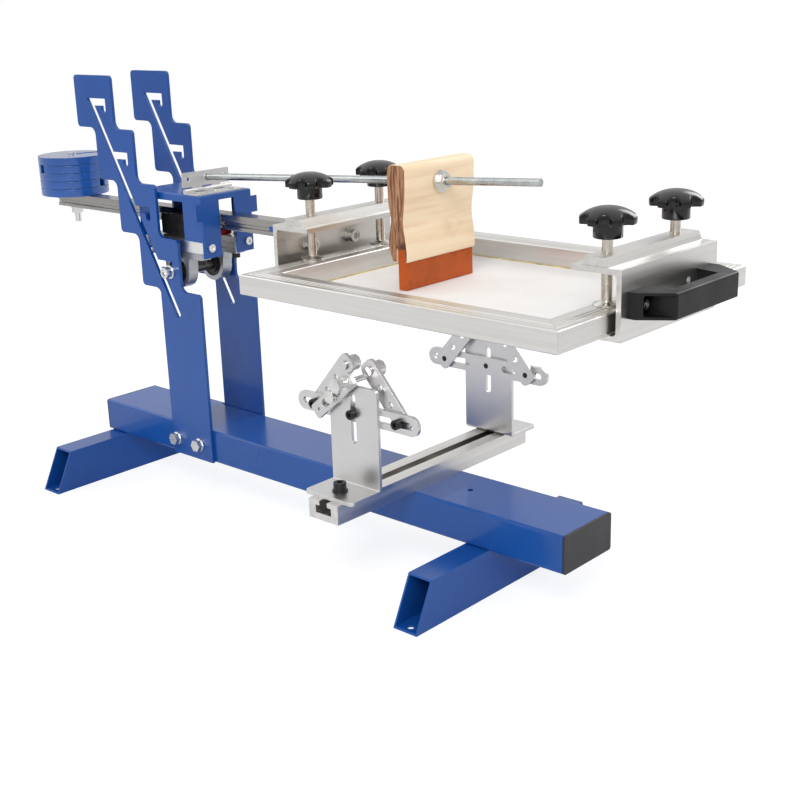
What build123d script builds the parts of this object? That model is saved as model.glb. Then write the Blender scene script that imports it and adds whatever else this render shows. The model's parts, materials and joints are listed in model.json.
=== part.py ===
"""Tabletop screen printing press for round work: a steel stand, a counterbalanced
sliding screen on a tilting head, a hinged squeegee arm and a roller cradle.

Millimetres, +X to the pull handle, +Y away from the operator's left, +Z up.
The origin is the middle of the four bench holes, on the bench.
"""
from build123d import *
from math import acos, cos, degrees, radians, sin
import os

os.makedirs("parts", exist_ok=True)

# ---------------------------------------------------------------- stand
foot_width = 30.0
foot_height = 50.0
foot_length = 300.0
foot_setback = 24.5            # the slanted end's top edge, behind its bottom edge
foot_wall = 2.0
foot_spacing = 594.0
bench_hole_radius = 3.5
bench_hole_inset = 9.0
beam_width = 80.0
beam_height = 40.0
beam_wall = 3.0
beam_left = -316.0
beam_right = 402.0
beam_corner = 3.0
beam_tapped_hole_x = 258.0
beam_tapped_hole_radius = 3.25
cap_flange = 2.5
cap_spigot = 14.0
cap_clearance = 0.2
cap_wall = 3.0

# ---------------------------------------------------------------- posts
post_thickness = 4.0
post_width = 72.0
post_left = -177.5             # left edge of the lowest, straight part
post_step = 34.0
post_pitch = 61.2
post_first_shelf = 256.6
post_levels = 4
post_outer_radius = 5.0
post_inner_radius = 9.0
slot_width = 8.5
slot_bottom_z = 228.5
notch_roof = 12.2              # above the shaft axis
notch_floor = 3.8
slot_to_hook = 20.0            # along X, at the height of the shaft axis
post_bolt_x = (-169.5, -127.5)
post_bolt_z = 69.5
post_bolt_tail = 2.0           # past the nut

# ---------------------------------------------------------------- pivot shaft
shaft_x = -156.5
shaft_z = 278.8
shaft_radius = 7.5
shaft_running_clearance = 0.05
shaft_thread_depth = 18.0
shaft_screw_length = 20.0
m8_radius = 4.0
m8_head_radius = 6.5
m8_head_height = 8.0
m8_nut_flats = 13.0
m8_nut_height = 6.5
m8_washer_radius = 8.0
m8_washer_thickness = 1.6
m6_radius = 3.0
m6_head_radius = 5.0
m6_head_height = 6.0
m6_nut_flats = 10.0
m6_nut_height = 5.0
m6_washer_radius = 6.25
m6_washer_thickness = 1.6
m5_radius = 2.5
m5_head_radius = 4.25
m5_head_height = 5.0
m5_nut_flats = 8.0
m5_nut_height = 4.0
screw_tail = 1.5               # past a nut
button_head_radius = 4.75
button_head_height = 2.75
hole_clearance = 0.25
thread_clearance = 0.05

# ---------------------------------------------------------------- head
block_thickness = 14.0
block_ring_radius = 21.0
block_base_length = 92.0
block_base_thickness = 9.0
block_height = 25.0            # mounting face to shaft axis
block_y = 26.0
block_neck_width = 50.0
block_neck_angle = 80.0
block_bolt_offset = 38.0
insert_radius = 15.5
insert_width = 11.0
inner_ring_radius = 11.0
inner_ring_width = 18.0
spacer_thickness = 13.5
spacer_inner_y = 10.0
block_screw_gap = 1.0          # under the top of the spacer
guide_width = 44.0
guide_height = 25.4
guide_steel_length = 50.5
guide_cap_length = 13.0
guide_mount_height = 30.0      # mounting face of the runner to the rail's base
guide_hole_x = 18.0
guide_hole_y = 14.2
guide_thread_depth = 7.0
guide_screw_grip = 6.0
guide_cap_step = 0.5           # the seals are this much smaller than the steel all round
guide_cap_corner = 2.0
rail_width = 20.0
rail_height = 17.5
rail_groove_depth = 2.2
rail_groove_top = 8.0
rail_groove_bottom = 12.0
rail_groove_slope = 1.2
rail_chamfer = 1.0
rail_clearance = 0.3
rail_left = -427.0
bracket_left = -215.0
bracket_right = -98.0
bracket_half_width = 38.0
bracket_top = 371.0
bracket_sheet = 2.5
bracket_bend = 2.0
bracket_leg_bottom = 299.0
bracket_side_bottom = 317.5
bracket_window_half = 24.5
bracket_window_top = 362.0
leg_inner_y = 12.0
leg_screw_y = 28.0
leg_thread_depth = 14.0
leg_screw_grip = 12.0
front_window_top = 364.0
ear_reach = 8.0
ear_bottom = 343.0
ear_top = 362.0

# ---------------------------------------------------------------- screen
channel_wall = 5.0
channel_height = 62.0
channel_flange = 50.0
channel_inner_radius = 3.5
channel_bottom = 300.5
rear_channel_x = 73.0          # outer face of the rear web
front_channel_x = 485.5        # outer face of the front web
rear_channel_length = 172.0
front_channel_length = 158.0
rear_web_hole_near_y = -40.5
rear_web_hole_far_y = 20.0
rear_web_hole_z = 336.0
front_web_hole_y = 29.5
front_web_hole_z = 335.0
angle_leg = 40.0
angle_wall = 5.0
angle_length = 90.0
angle_bottom = 318.0
angle_screw_inset = (12.0, 28.0)
rail_screw_head_height = 3.6
frame_left = 96.0
frame_length = 380.0
frame_width = 310.0
frame_bar = 30.0
frame_height = 20.0
frame_wall = 2.0
frame_joint = 0.1
mesh_thickness = 0.3
mesh_margin = 4.0
clamp_bar_base = 27.0
clamp_bar_top = 20.0
clamp_bar_height = 8.0
clamp_bar_margin = 2.0
clamp_bar_setback = 8.5        # from the open edge of the channel's flange
rear_clamp_near_inset = 27.5
rear_clamp_far_inset = 41.5
front_clamp_near_inset = 21.0
front_clamp_far_inset = 27.0
stud_radius = 5.0
stud_running_clearance = 0.08
pad_radius = 12.0
pad_height = 2.0
pad_foot_radius = 7.0
pad_foot_height = 2.0
rear_knob_bottom = 387.8
front_knob_bottom = 383.8
knob_hub_radius = 12.8
knob_hub_height = 12.2
knob_radius = 24.5
knob_lobes = 7
knob_lobe_gap_radius = 7.0
knob_lobe_gap_offset = 2.0
knob_turn = 12.0
knob_head_height = 10.6
knob_dome_height = 4.0
knob_dome_inset = 3.0          # from the lobes' tips at the top of their sides
knob_bore_depth = 18.0
knob_bore_gap = 1.0
weight_x = -399.0
weight_radius = 43.0
weight_thickness = 10.0
weight_face_gap = 0.2
weight_count = 5
weight_slot_width = 9.0
weight_slot_turns = (215.0, 20.0, 130.0, 262.0, 75.0)
weight_bolt_tail = 19.5        # below the rail
weight_head_radius = 5.5
weight_head_height = 2.5

# ---------------------------------------------------------------- pull handle
handle_length = 140.0
handle_bar_length = 102.0
handle_reach = 37.0
handle_depth = 23.0
handle_bar_thickness = 12.5
handle_foot_width = 26.0
handle_foot_depth = 8.0
handle_screw_spacing = 116.0
handle_pocket_inset = 3.6      # from the handle's outer end
handle_pocket_width = 14.9
handle_pocket_height = 18.2
handle_pocket_corner = 1.5
handle_seat = 7.0
handle_inner_slant = 6.0
handle_outer_radius = 2.0

# ---------------------------------------------------------------- squeegee arm
hinge_x = -126.0
hinge_near_y = -38.0
hinge_length = 69.0
hinge_leaf = 1.5
hinge_knuckle_radius = 3.0
hinge_pin_radius = 1.5
hinge_lower_reach = 24.0
hinge_leaf_gap = 3.2           # from the pin's line to the lower leaf
hinge_upper_reach = 21.0
hinge_gap = 0.25
hinge_hole_radius = 2.2
hinge_screw_clearance = 0.2
hinge_screw_head_radius = 3.75
hinge_screw_head_height = 1.4
hinge_screw_tail = 3.0
hinge_screw_shares = (0.15, 0.5, 0.85)
hinge_hole_shares = (0.12, 0.88)
hinge_screw_setback = 14.9     # from the pin's line
hinge_knuckle_gap = 0.1        # under the knuckles
hinge_leaf_offset = 1.85       # from the pin's line to the upper leaf's middle
hinge_leaf_start = 4.0         # above the pin's line
hinge_tongue = 6.0
arm_rise = 3.28                # degrees above level at rest
rod_radius = 3.9
rod_height = 13.1              # above the hinge pin, square to the rod
rod_tail = 11.5
rod_reach = 474.0
squeegee_x = 214.0
squeegee_width = 105.0
squeegee_thickness = 22.5
squeegee_waist_thickness = 16.0
squeegee_waist_height = 37.5   # above the bottom
squeegee_bulge_thickness = 22.4
squeegee_bulge_height = 14.0
squeegee_shoulder_height = 73.0
squeegee_foot_thickness = 17.6
squeegee_foot_offset = 2.0     # towards the handle
squeegee_foot_flare = 0.3
squeegee_top = 427.5
squeegee_bottom = 334.0
squeegee_crown = 6.0
blade_offset = 4.2             # from the wood's middle towards the handle
squeegee_hole_clearance = 1.3
squeegee_hole_play = 2.4       # extra height of the hole, for the rod's slope
blade_thickness = 10.4
blade_socket = 13.0
blade_fit = 0.05
blade_end_inset = 1.5
blade_gap = 0.3
washer_large_radius = 11.0
washer_large_thickness = 2.0
washer_gap = 0.1
rod_running_clearance = 0.06

# ---------------------------------------------------------------- cradle
t_rail_x = 195.6
t_rail_width = 40.0
t_rail_height = 20.0
t_rail_length = 305.0
t_slot_mouth = 10.5
t_slot_lip = 5.0
t_slot_width = 21.0
t_slot_height = 8.0
t_rail_screw_y = 24.0
t_rail_screw_tail = 6.0        # inside the beam
t_nut_length = 20.0
t_nut_clearance = 0.3
t_nut_height = 6.7
t_slot_bottom_gap = 1.0
l_width = 65.0
l_wall = 4.0
l_height = 108.0
l_foot = 45.0
l_corner = 5.0
l_bend = 5.0
near_plate_y = -105.0          # outer face of the near upright
far_plate_y = 114.0            # outer face of the far upright
l_slot_bottom = 157.0
l_slot_top = 209.0
l_screw_y = 23.0               # from the outer face of the upright
cross_half = 82.5
cross_height = 20.0
cross_thickness = 4.0
cross_z = 188.5
cross_slot_inner = 22.0
cross_slot_outer = 75.0
cradle_slot_width = 7.0
arm_foot = 56.5                # arm pivot to the middle of the cradle
arm_top = 17.0                 # roller axle to the middle of the cradle
arm_pitch = 20.1
arm_holes = 4
arm_width = 20.0
arm_thickness = 4.0
arm_corner = 6.0
roller_radius = 8.0
roller_width = 11.0
roller_side_gap = 1.0
roller_edge = 0.8
axle_radius = 3.0
axle_head_radius = 4.6
axle_head_height = 2.2
axle_side_gap = 0.15
stop_head_height = 5.0
stop_turn = 40.3
stop_low_x = 155.6             # hole at the lower end of the stop's bar
stop_low_z = 188.2
stop_reach = 53.8              # lower hole to the hole of the pin
stop_width = 16.0
stop_thickness = 4.0
stop_corner = 2.5
stop_low_hole_radius = 1.6
stop_slot_width = 8.5
stop_slot_start = 8.0
stop_slot_end = 40.0
stop_clamp = 26.0              # lower hole to the clamp screw
stop_spacer = 4.2
stop_pin_radius = 3.0
stop_pin_length = 36.0
stop_bolt_length = 12.0
stop_nut_height = 4.0
stop_bolt_head_height = 5.5
stop_screw_gap = 0.5           # short of the bracket's inner face
match_tolerance = 0.001        # for picking a corner by its place

# ---------------------------------------------------------------- derived places
beam_bottom = foot_height
beam_top = beam_bottom + beam_height
post_inner_y = beam_width / 2
post_outer_y = post_inner_y + post_thickness
post_top = post_first_shelf + post_levels * post_pitch
post_slope = post_step / post_pitch
spacer_bottom = shaft_z + block_height
guide_bottom = spacer_bottom + spacer_thickness
rail_top = guide_bottom + guide_mount_height
rail_bottom = rail_top - rail_height
rail_right = rear_channel_x - angle_wall
channel_top = channel_bottom + channel_height
frame_bottom = channel_bottom + channel_wall + mesh_thickness
frame_top = frame_bottom + frame_height
frame_right = frame_left + frame_length
handle_z = channel_bottom + channel_height / 2
hinge_z = bracket_top + hinge_knuckle_radius
arm_cos = cos(radians(arm_rise))
arm_sin = sin(radians(arm_rise))
t_rail_top = beam_top + t_rail_height
hinge_screw_x = hinge_x + hinge_screw_setback
hinge_screw_ys = [hinge_near_y + hinge_length * share for share in hinge_screw_shares]
arm_lean = degrees(acos((arm_foot - arm_top) / (arm_pitch * (arm_holes - 1))))
roller_z = cross_z + arm_pitch * (arm_holes - 1) * sin(radians(arm_lean))


def facing(y):
    """Upright plane at depth y whose normal points to -Y; sketch axes are X and Z."""
    return Plane(origin=(0, y, 0), x_dir=(1, 0, 0), z_dir=(0, -1, 0))


def crosswise(x):
    """Upright plane at x whose normal points to +X; sketch axes are Y and Z."""
    return Plane(origin=(x, 0, 0), x_dir=(0, 1, 0), z_dir=(1, 0, 0))


def rod_z(x):
    """Height of the rod's axis above a place x."""
    along = x - hinge_x + rod_height * arm_sin
    return hinge_z + rod_height * arm_cos + along * arm_sin / arm_cos


def save(piece, name):
    piece.part.label = name
    export_step(piece.part, f"parts/{name}.step")


def spool(plane, centre, radius, height, bore=0.0):
    """Adds a round slab or ring on the plane."""
    with BuildSketch(plane) as ring:
        with Locations(centre):
            Circle(radius)
            if bore:
                Circle(bore, mode=Mode.SUBTRACT)
    extrude(ring.sketch, amount=height)


def hexagon(plane, centre, flats, height, bore=0.0, turn=0.0):
    """Adds a hexagon head or nut on the plane."""
    with BuildSketch(plane) as block:
        with Locations(Location((*centre, 0), (0, 0, turn))):
            RegularPolygon(flats / 2, 6, major_radius=False)
            if bore:
                Circle(bore, mode=Mode.SUBTRACT)
    extrude(block.sketch, amount=height)


def socket_head(plane, centre, radius, height):
    """Adds a cylindrical head with a hexagon socket, standing on the plane."""
    with BuildSketch(plane) as head:
        with Locations(centre):
            Circle(radius)
    extrude(head.sketch, amount=height)
    with BuildSketch(plane.offset(height)) as socket:
        with Locations(centre):
            RegularPolygon(radius * 0.45, 6, major_radius=False)
    extrude(socket.sketch, amount=-height * 0.5, mode=Mode.SUBTRACT)


# ================================================================ stand
with BuildPart() as base_beam:
    with BuildSketch(crosswise(beam_left)):
        with Locations((0, beam_bottom + beam_height / 2)):
            RectangleRounded(beam_width, beam_height, beam_corner)
            Rectangle(beam_width - 2 * beam_wall, beam_height - 2 * beam_wall, mode=Mode.SUBTRACT)
    extrude(amount=beam_right - beam_left)
    with BuildSketch(facing(-post_outer_y)):
        with Locations(*[(x, post_bolt_z) for x in post_bolt_x]):
            Circle(m8_radius + hole_clearance)
    extrude(amount=-2 * post_outer_y, mode=Mode.SUBTRACT)
    with BuildSketch(Plane.XY.offset(beam_top)):
        with Locations((beam_tapped_hole_x, 0)):
            Circle(beam_tapped_hole_radius)
        with Locations((t_rail_x, t_rail_screw_y), (t_rail_x, -t_rail_screw_y)):
            Circle(m6_radius + thread_clearance)
    extrude(amount=-beam_wall, mode=Mode.SUBTRACT)
save(base_beam, "base_beam")

with BuildPart() as feet:
    for foot_x in (-foot_spacing / 2, foot_spacing / 2):
        with BuildSketch(crosswise(foot_x - foot_width / 2)):
            Polygon(
                (-foot_length / 2, 0),
                (foot_length / 2, 0),
                (foot_length / 2 - foot_setback, foot_height),
                (foot_setback - foot_length / 2, foot_height),
                align=None,
            )
        extrude(amount=foot_width)
    with BuildSketch(facing(foot_length / 2)):
        with Locations(*[(x, foot_height / 2) for x in (-foot_spacing / 2, foot_spacing / 2)]):
            Rectangle(foot_width - 2 * foot_wall, foot_height - 2 * foot_wall)
    extrude(amount=foot_length, mode=Mode.SUBTRACT)
    with BuildSketch(Plane.XY):
        with GridLocations(foot_spacing, foot_length - 2 * bench_hole_inset, 2, 2):
            Circle(bench_hole_radius)
    extrude(amount=foot_wall, mode=Mode.SUBTRACT)
save(feet, "feet")

with BuildPart() as end_caps:
    for cap_x, outward in ((beam_left, -1), (beam_right, 1)):
        with BuildSketch(crosswise(cap_x)):
            with Locations((0, beam_bottom + beam_height / 2)):
                RectangleRounded(beam_width, beam_height, beam_corner)
        extrude(amount=outward * cap_flange)
        with BuildSketch(crosswise(cap_x)):
            with Locations((0, beam_bottom + beam_height / 2)):
                inset = 2 * (beam_wall + cap_clearance)
                Rectangle(beam_width - inset, beam_height - inset)
                Rectangle(
                    beam_width - inset - 2 * cap_wall,
                    beam_height - inset - 2 * cap_wall,
                    mode=Mode.SUBTRACT,
                )
        extrude(amount=-outward * cap_spigot)
save(end_caps, "end_caps")


def stepped_post(inner_y, away):
    """One laser-cut post whose inner face is at inner_y."""
    right = post_left + post_width
    shelves = [post_first_shelf + k * post_pitch for k in range(post_levels)]
    climb, descent, hollow_corners = [(right, beam_bottom)], [], []
    for k, shelf in enumerate(shelves):
        climb += [(right - k * post_step, shelf), (right - (k + 1) * post_step, shelf)]
        descent += [(post_left - k * post_step, shelf), (post_left - (k + 1) * post_step, shelf)]
        hollow_corners += [climb[-1], descent[-2]]
    crown = [
        (right - post_levels * post_step, post_top),
        (post_left - post_levels * post_step, post_top),
    ]
    outline = climb + crown + descent[::-1] + [(post_left, beam_bottom)]
    proud_corners = [corner for corner in outline[1:-1] if corner not in hollow_corners]
    with BuildPart() as post:
        with BuildSketch(facing(inner_y)) as face:
            Polygon(*outline, align=None)
            for corners, radius in (
                (hollow_corners, post_inner_radius),
                (proud_corners, post_outer_radius),
            ):
                chosen = [
                    v for v in face.vertices()
                    if any(abs(v.X - x) + abs(v.Y - z) < match_tolerance for x, z in corners)
                ]
                fillet(chosen, radius)
        extrude(amount=away * post_thickness)
        top_hook_z = shaft_z + (post_levels - 1) * post_pitch
        slot_top_z = top_hook_z + notch_roof
        half = slot_width / 2 * (1 + post_slope ** 2) ** 0.5
        middle_x = shaft_x - slot_to_hook

        def slot_x(z):
            return middle_x - (z - shaft_z) * post_slope

        with BuildSketch(facing(inner_y)):
            Polygon(
                (slot_x(slot_bottom_z) - half, slot_bottom_z),
                (slot_x(slot_bottom_z) + half, slot_bottom_z),
                (slot_x(slot_top_z) + half, slot_top_z),
                (slot_x(slot_top_z) - half, slot_top_z),
                align=None,
            )
            with Locations((slot_x(slot_bottom_z), slot_bottom_z)):
                Circle(slot_width / 2)
            for k in range(post_levels):
                hook_x = shaft_x - k * post_step
                hook_z = shaft_z + k * post_pitch
                Polygon(
                    (slot_x(hook_z + notch_floor), hook_z + notch_floor),
                    (hook_x, hook_z + notch_floor),
                    (hook_x, hook_z + notch_roof),
                    (slot_x(hook_z + notch_roof), hook_z + notch_roof),
                    align=None,
                )
                with Locations((hook_x, hook_z + notch_roof / 2)):
                    Rectangle(slot_width, notch_roof)
                with Locations((hook_x, hook_z)):
                    Circle(slot_width / 2)
            with Locations(*[(x, post_bolt_z) for x in post_bolt_x]):
                Circle(m8_radius + hole_clearance)
        extrude(amount=away * post_thickness, mode=Mode.SUBTRACT)
    return post


post_near = stepped_post(-post_inner_y, 1)
save(post_near, "post_near")
post_far = stepped_post(post_inner_y, -1)
save(post_far, "post_far")

with BuildPart() as base_bolts:
    for bolt_x in post_bolt_x:
        centre = (bolt_x, post_bolt_z)
        washer_y = post_outer_y + m8_washer_thickness
        bore = m8_radius + thread_clearance
        spool(facing(-post_outer_y), centre, m8_washer_radius, m8_washer_thickness, bore)
        spool(facing(washer_y), centre, m8_washer_radius, m8_washer_thickness, bore)
        hexagon(facing(-washer_y), centre, m8_nut_flats, m8_nut_height)
        tip_y = washer_y + m8_nut_height + post_bolt_tail
        spool(facing(tip_y), centre, m8_radius, tip_y + washer_y)
        hexagon(facing(washer_y + m8_nut_height), centre, m8_nut_flats, m8_nut_height, bore)
    for screw_y in (-t_rail_screw_y, t_rail_screw_y):
        seat = Plane.XY.offset(t_rail_top - t_slot_lip - t_slot_height)
        socket_head(seat, (t_rail_x, screw_y), m6_head_radius, m6_head_height)
        spool(seat, (t_rail_x, screw_y), m6_radius,
              t_slot_lip + t_slot_height - t_rail_height - beam_wall - t_rail_screw_tail)
save(base_bolts, "base_bolts")

with BuildPart() as pivot_shaft:
    spool(facing(post_inner_y), (shaft_x, shaft_z), shaft_radius, 2 * post_inner_y)
    with BuildSketch(facing(post_inner_y)):
        with Locations((shaft_x, shaft_z)):
            Circle(m8_radius + thread_clearance)
    extrude(amount=shaft_thread_depth, mode=Mode.SUBTRACT)
    with BuildSketch(facing(-post_inner_y)):
        with Locations((shaft_x, shaft_z)):
            Circle(m8_radius + thread_clearance)
    extrude(amount=-shaft_thread_depth, mode=Mode.SUBTRACT)
save(pivot_shaft, "pivot_shaft")

with BuildPart() as shaft_screws:
    for side in (-1, 1):
        outer = side * post_outer_y
        washer_face = side * (post_outer_y + m8_washer_thickness)
        spool(facing(outer), (shaft_x, shaft_z), m8_washer_radius, -side * m8_washer_thickness,
              m8_radius + thread_clearance)
        outward_plane = Plane(
            origin=(0, washer_face, 0), x_dir=(-side, 0, 0), z_dir=(0, side, 0)
        )
        socket_head(outward_plane, (-side * shaft_x, shaft_z), m8_head_radius, m8_head_height)
        spool(facing(washer_face), (shaft_x, shaft_z), m8_radius, side * shaft_screw_length)
save(shaft_screws, "shaft_screws")

# ================================================================ head
with BuildPart() as pillow_blocks:
    for block_side in (-1, 1):
        back = facing(block_side * block_y + block_thickness / 2)
        with BuildSketch(back):
            with Locations((shaft_x, shaft_z)):
                Circle(block_ring_radius)
            with Locations((shaft_x, spacer_bottom - block_base_thickness / 2)):
                Rectangle(block_base_length, block_base_thickness)
            with Locations((shaft_x, shaft_z + block_height / 2)):
                Trapezoid(block_neck_width, block_height, block_neck_angle, rotation=180)
            with Locations((shaft_x, shaft_z)):
                Circle(insert_radius + thread_clearance, mode=Mode.SUBTRACT)
        extrude(amount=block_thickness)
    with BuildSketch(Plane.XY.offset(spacer_bottom)):
        with Locations(*[
            (shaft_x + sx * block_bolt_offset, sy * block_y) for sx in (-1, 1) for sy in (-1, 1)
        ]):
            Circle(m6_radius + hole_clearance)
    extrude(amount=-block_base_thickness, mode=Mode.SUBTRACT)
save(pillow_blocks, "pillow_blocks")

with BuildPart() as bearing_inserts:
    for block_side in (-1, 1):
        middle = block_side * block_y
        spool(facing(middle + insert_width / 2), (shaft_x, shaft_z), insert_radius, insert_width)
        spool(facing(middle + inner_ring_width / 2), (shaft_x, shaft_z), inner_ring_radius,
              inner_ring_width)
    with BuildSketch(facing(post_inner_y)):
        with Locations((shaft_x, shaft_z)):
            Circle(shaft_radius + shaft_running_clearance)
    extrude(amount=2 * post_inner_y, mode=Mode.SUBTRACT)
save(bearing_inserts, "bearing_inserts")

spacer_left = bracket_left + bracket_sheet
spacer_right = bracket_right - bracket_sheet
spacer_outer_y = bracket_half_width - bracket_sheet
with BuildPart() as spacer_blocks:
    for spacer_side in (-1, 1):
        with BuildSketch(Plane.XY.offset(spacer_bottom)):
            with Locations((
                (spacer_left + spacer_right) / 2,
                spacer_side * (spacer_inner_y + spacer_outer_y) / 2,
            )):
                Rectangle(spacer_right - spacer_left, spacer_outer_y - spacer_inner_y)
            with Locations(*[
                (shaft_x + sx * block_bolt_offset, spacer_side * block_y) for sx in (-1, 1)
            ]):
                Circle(m6_radius + thread_clearance, mode=Mode.SUBTRACT)
            with Locations(*[
                (shaft_x + sx * guide_hole_x, spacer_side * guide_hole_y) for sx in (-1, 1)
            ]):
                Circle(m5_radius + hole_clearance, mode=Mode.SUBTRACT)
        extrude(amount=spacer_thickness)
    with BuildSketch(crosswise(spacer_left)):
        with Locations(*[
            (sy * leg_screw_y, spacer_bottom + spacer_thickness / 2) for sy in (-1, 1)
        ]):
            Circle(m5_radius + thread_clearance)
    extrude(amount=leg_thread_depth, mode=Mode.SUBTRACT)
    with BuildSketch(crosswise(spacer_right)):
        with Locations(*[
            (sy * leg_screw_y, spacer_bottom + spacer_thickness / 2) for sy in (-1, 1)
        ]):
            Circle(m5_radius + thread_clearance)
    extrude(amount=-leg_thread_depth, mode=Mode.SUBTRACT)
save(spacer_blocks, "spacer_blocks")

with BuildPart() as block_screws:
    underside = Plane(
        origin=(0, 0, spacer_bottom - block_base_thickness), x_dir=(1, 0, 0), z_dir=(0, 0, -1)
    )
    guide_screw_plane = Plane(origin=(0, 0, spacer_bottom), x_dir=(1, 0, 0), z_dir=(0, 0, -1))
    for sx in (-1, 1):
        for sy in (-1, 1):
            bolt = (shaft_x + sx * block_bolt_offset, -sy * block_y)
            socket_head(underside, bolt, m6_head_radius, m6_head_height)
            spool(underside, bolt, m6_radius,
                  block_screw_gap - block_base_thickness - spacer_thickness)
            guide_bolt = (shaft_x + sx * guide_hole_x, -sy * guide_hole_y)
            socket_head(guide_screw_plane, guide_bolt, m5_head_radius, m5_head_height)
            spool(guide_screw_plane, guide_bolt, m5_radius, -(spacer_thickness + guide_screw_grip))
save(block_screws, "block_screws")


def rail_outline(extra):
    """Adds the guide rail's section to a sketch, grown by extra on its flanks and head."""
    half = rail_width / 2 + extra
    neck = half - rail_groove_depth
    head = half - rail_groove_depth / 3
    low = rail_top - rail_height - extra
    groove_top = rail_top - rail_groove_top - extra
    groove_bottom = rail_top - rail_groove_bottom + extra
    flank = [
        (half, rail_top),
        (half, groove_top),
        (neck, groove_top - rail_groove_slope),
        (neck, groove_bottom),
        (head, groove_bottom - rail_groove_slope),
        (head, low + rail_chamfer),
        (head - rail_chamfer, low),
    ]
    Polygon(*flank, *[(-y, z) for y, z in flank[::-1]], align=None)


with BuildPart() as guide_carriage:
    with BuildSketch(crosswise(shaft_x - guide_steel_length / 2)):
        with Locations((0, guide_bottom + guide_height / 2)):
            Rectangle(guide_width, guide_height)
    extrude(amount=guide_steel_length)
    with BuildSketch(crosswise(shaft_x - guide_steel_length / 2)):
        rail_outline(rail_clearance)
    extrude(amount=guide_steel_length, mode=Mode.SUBTRACT)
    with BuildSketch(Plane.XY.offset(guide_bottom)):
        with Locations(*[
            (shaft_x + sx * guide_hole_x, sy * guide_hole_y) for sx in (-1, 1) for sy in (-1, 1)
        ]):
            Circle(m5_radius + thread_clearance)
    extrude(amount=guide_thread_depth, mode=Mode.SUBTRACT)
save(guide_carriage, "guide_carriage")

with BuildPart() as carriage_end_caps:
    for cap_start in (
        shaft_x - guide_steel_length / 2 - guide_cap_length,
        shaft_x + guide_steel_length / 2,
    ):
        with BuildSketch(crosswise(cap_start)):
            with Locations((0, guide_bottom + guide_height / 2)):
                RectangleRounded(
                    guide_width - 2 * guide_cap_step, guide_height - 2 * guide_cap_step, guide_cap_corner
                )
        extrude(amount=guide_cap_length)
        with BuildSketch(crosswise(cap_start)):
            rail_outline(rail_clearance)
        extrude(amount=guide_cap_length, mode=Mode.SUBTRACT)
save(carriage_end_caps, "carriage_end_caps")

with BuildPart() as head_bracket:
    middle_x = (bracket_left + bracket_right) / 2
    with BuildSketch(Plane.XY.offset(bracket_leg_bottom)):
        with Locations((middle_x, 0)):
            Rectangle(bracket_right - bracket_left, 2 * bracket_half_width)
    extrude(amount=bracket_top - bracket_leg_bottom)
    rim = head_bracket.faces().sort_by(Axis.Z)[-1].edges()
    fillet(head_bracket.edges().filter_by(Axis.Z) + rim, bracket_bend)
    with BuildSketch(Plane.XY.offset(bracket_leg_bottom)):
        with Locations((middle_x, 0)):
            Rectangle(
                bracket_right - bracket_left - 2 * bracket_sheet,
                2 * (bracket_half_width - bracket_sheet),
            )
    extrude(amount=bracket_top - bracket_sheet - bracket_leg_bottom, mode=Mode.SUBTRACT)
    # side panels stop above the legs, with a notch in the middle of each
    with BuildSketch(facing(post_inner_y)):
        with Locations((middle_x, (bracket_leg_bottom + bracket_side_bottom) / 2)):
            Rectangle(
                bracket_right - bracket_left - 2 * bracket_sheet,
                bracket_side_bottom - bracket_leg_bottom,
            )
        with Locations((shaft_x, (bracket_leg_bottom + bracket_window_top) / 2)):
            Rectangle(2 * bracket_window_half, bracket_window_top - bracket_leg_bottom)
    extrude(amount=2 * post_inner_y, mode=Mode.SUBTRACT)
    # end walls: a tall opening for the rail between two legs
    with BuildSketch(crosswise(bracket_left)):
        with Locations((0, (bracket_leg_bottom + front_window_top) / 2)):
            Rectangle(2 * leg_inner_y, front_window_top - bracket_leg_bottom)
    extrude(amount=bracket_right - bracket_left, mode=Mode.SUBTRACT)
    # ears that meet the posts when the screen is lifted
    with BuildSketch(crosswise(bracket_right)):
        with Locations((0, (ear_bottom + ear_top) / 2)):
            Rectangle(2 * (bracket_half_width + ear_reach), ear_top - ear_bottom)
            Rectangle(2 * (bracket_half_width - bracket_sheet), ear_top - ear_bottom,
                      mode=Mode.SUBTRACT)
    extrude(amount=-bracket_sheet)
    with BuildSketch(crosswise(bracket_left)):
        with Locations(*[
            (sy * leg_screw_y, spacer_bottom + spacer_thickness / 2) for sy in (-1, 1)
        ]):
            Circle(m5_radius + hole_clearance)
    extrude(amount=bracket_right - bracket_left, mode=Mode.SUBTRACT)
    with BuildSketch(Plane.XY.offset(bracket_top)):
        with Locations(*[(hinge_screw_x, y) for y in hinge_screw_ys]):
            Circle(hinge_hole_radius)
    extrude(amount=-bracket_sheet, mode=Mode.SUBTRACT)
save(head_bracket, "head_bracket")

with BuildPart() as bracket_screws:
    for end_x, outward in ((bracket_left, -1), (bracket_right, 1)):
        for sy in (-1, 1):
            plane = Plane(origin=(end_x, 0, 0), x_dir=(0, outward, 0), z_dir=(outward, 0, 0))
            centre = (outward * sy * leg_screw_y, spacer_bottom + spacer_thickness / 2)
            socket_head(plane, centre, button_head_radius, button_head_height)
            spool(plane, centre, m5_radius, -(bracket_sheet + leg_screw_grip))
    for screw_y in hinge_screw_ys:
        leaf_top = Plane.XY.offset(bracket_top + hinge_leaf)
        spool(leaf_top, (hinge_screw_x, screw_y), hinge_screw_head_radius, hinge_screw_head_height)
        spool(leaf_top, (hinge_screw_x, screw_y), hinge_hole_radius - hinge_screw_clearance,
              -(hinge_leaf + bracket_sheet + hinge_screw_tail))
save(bracket_screws, "bracket_screws")

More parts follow.
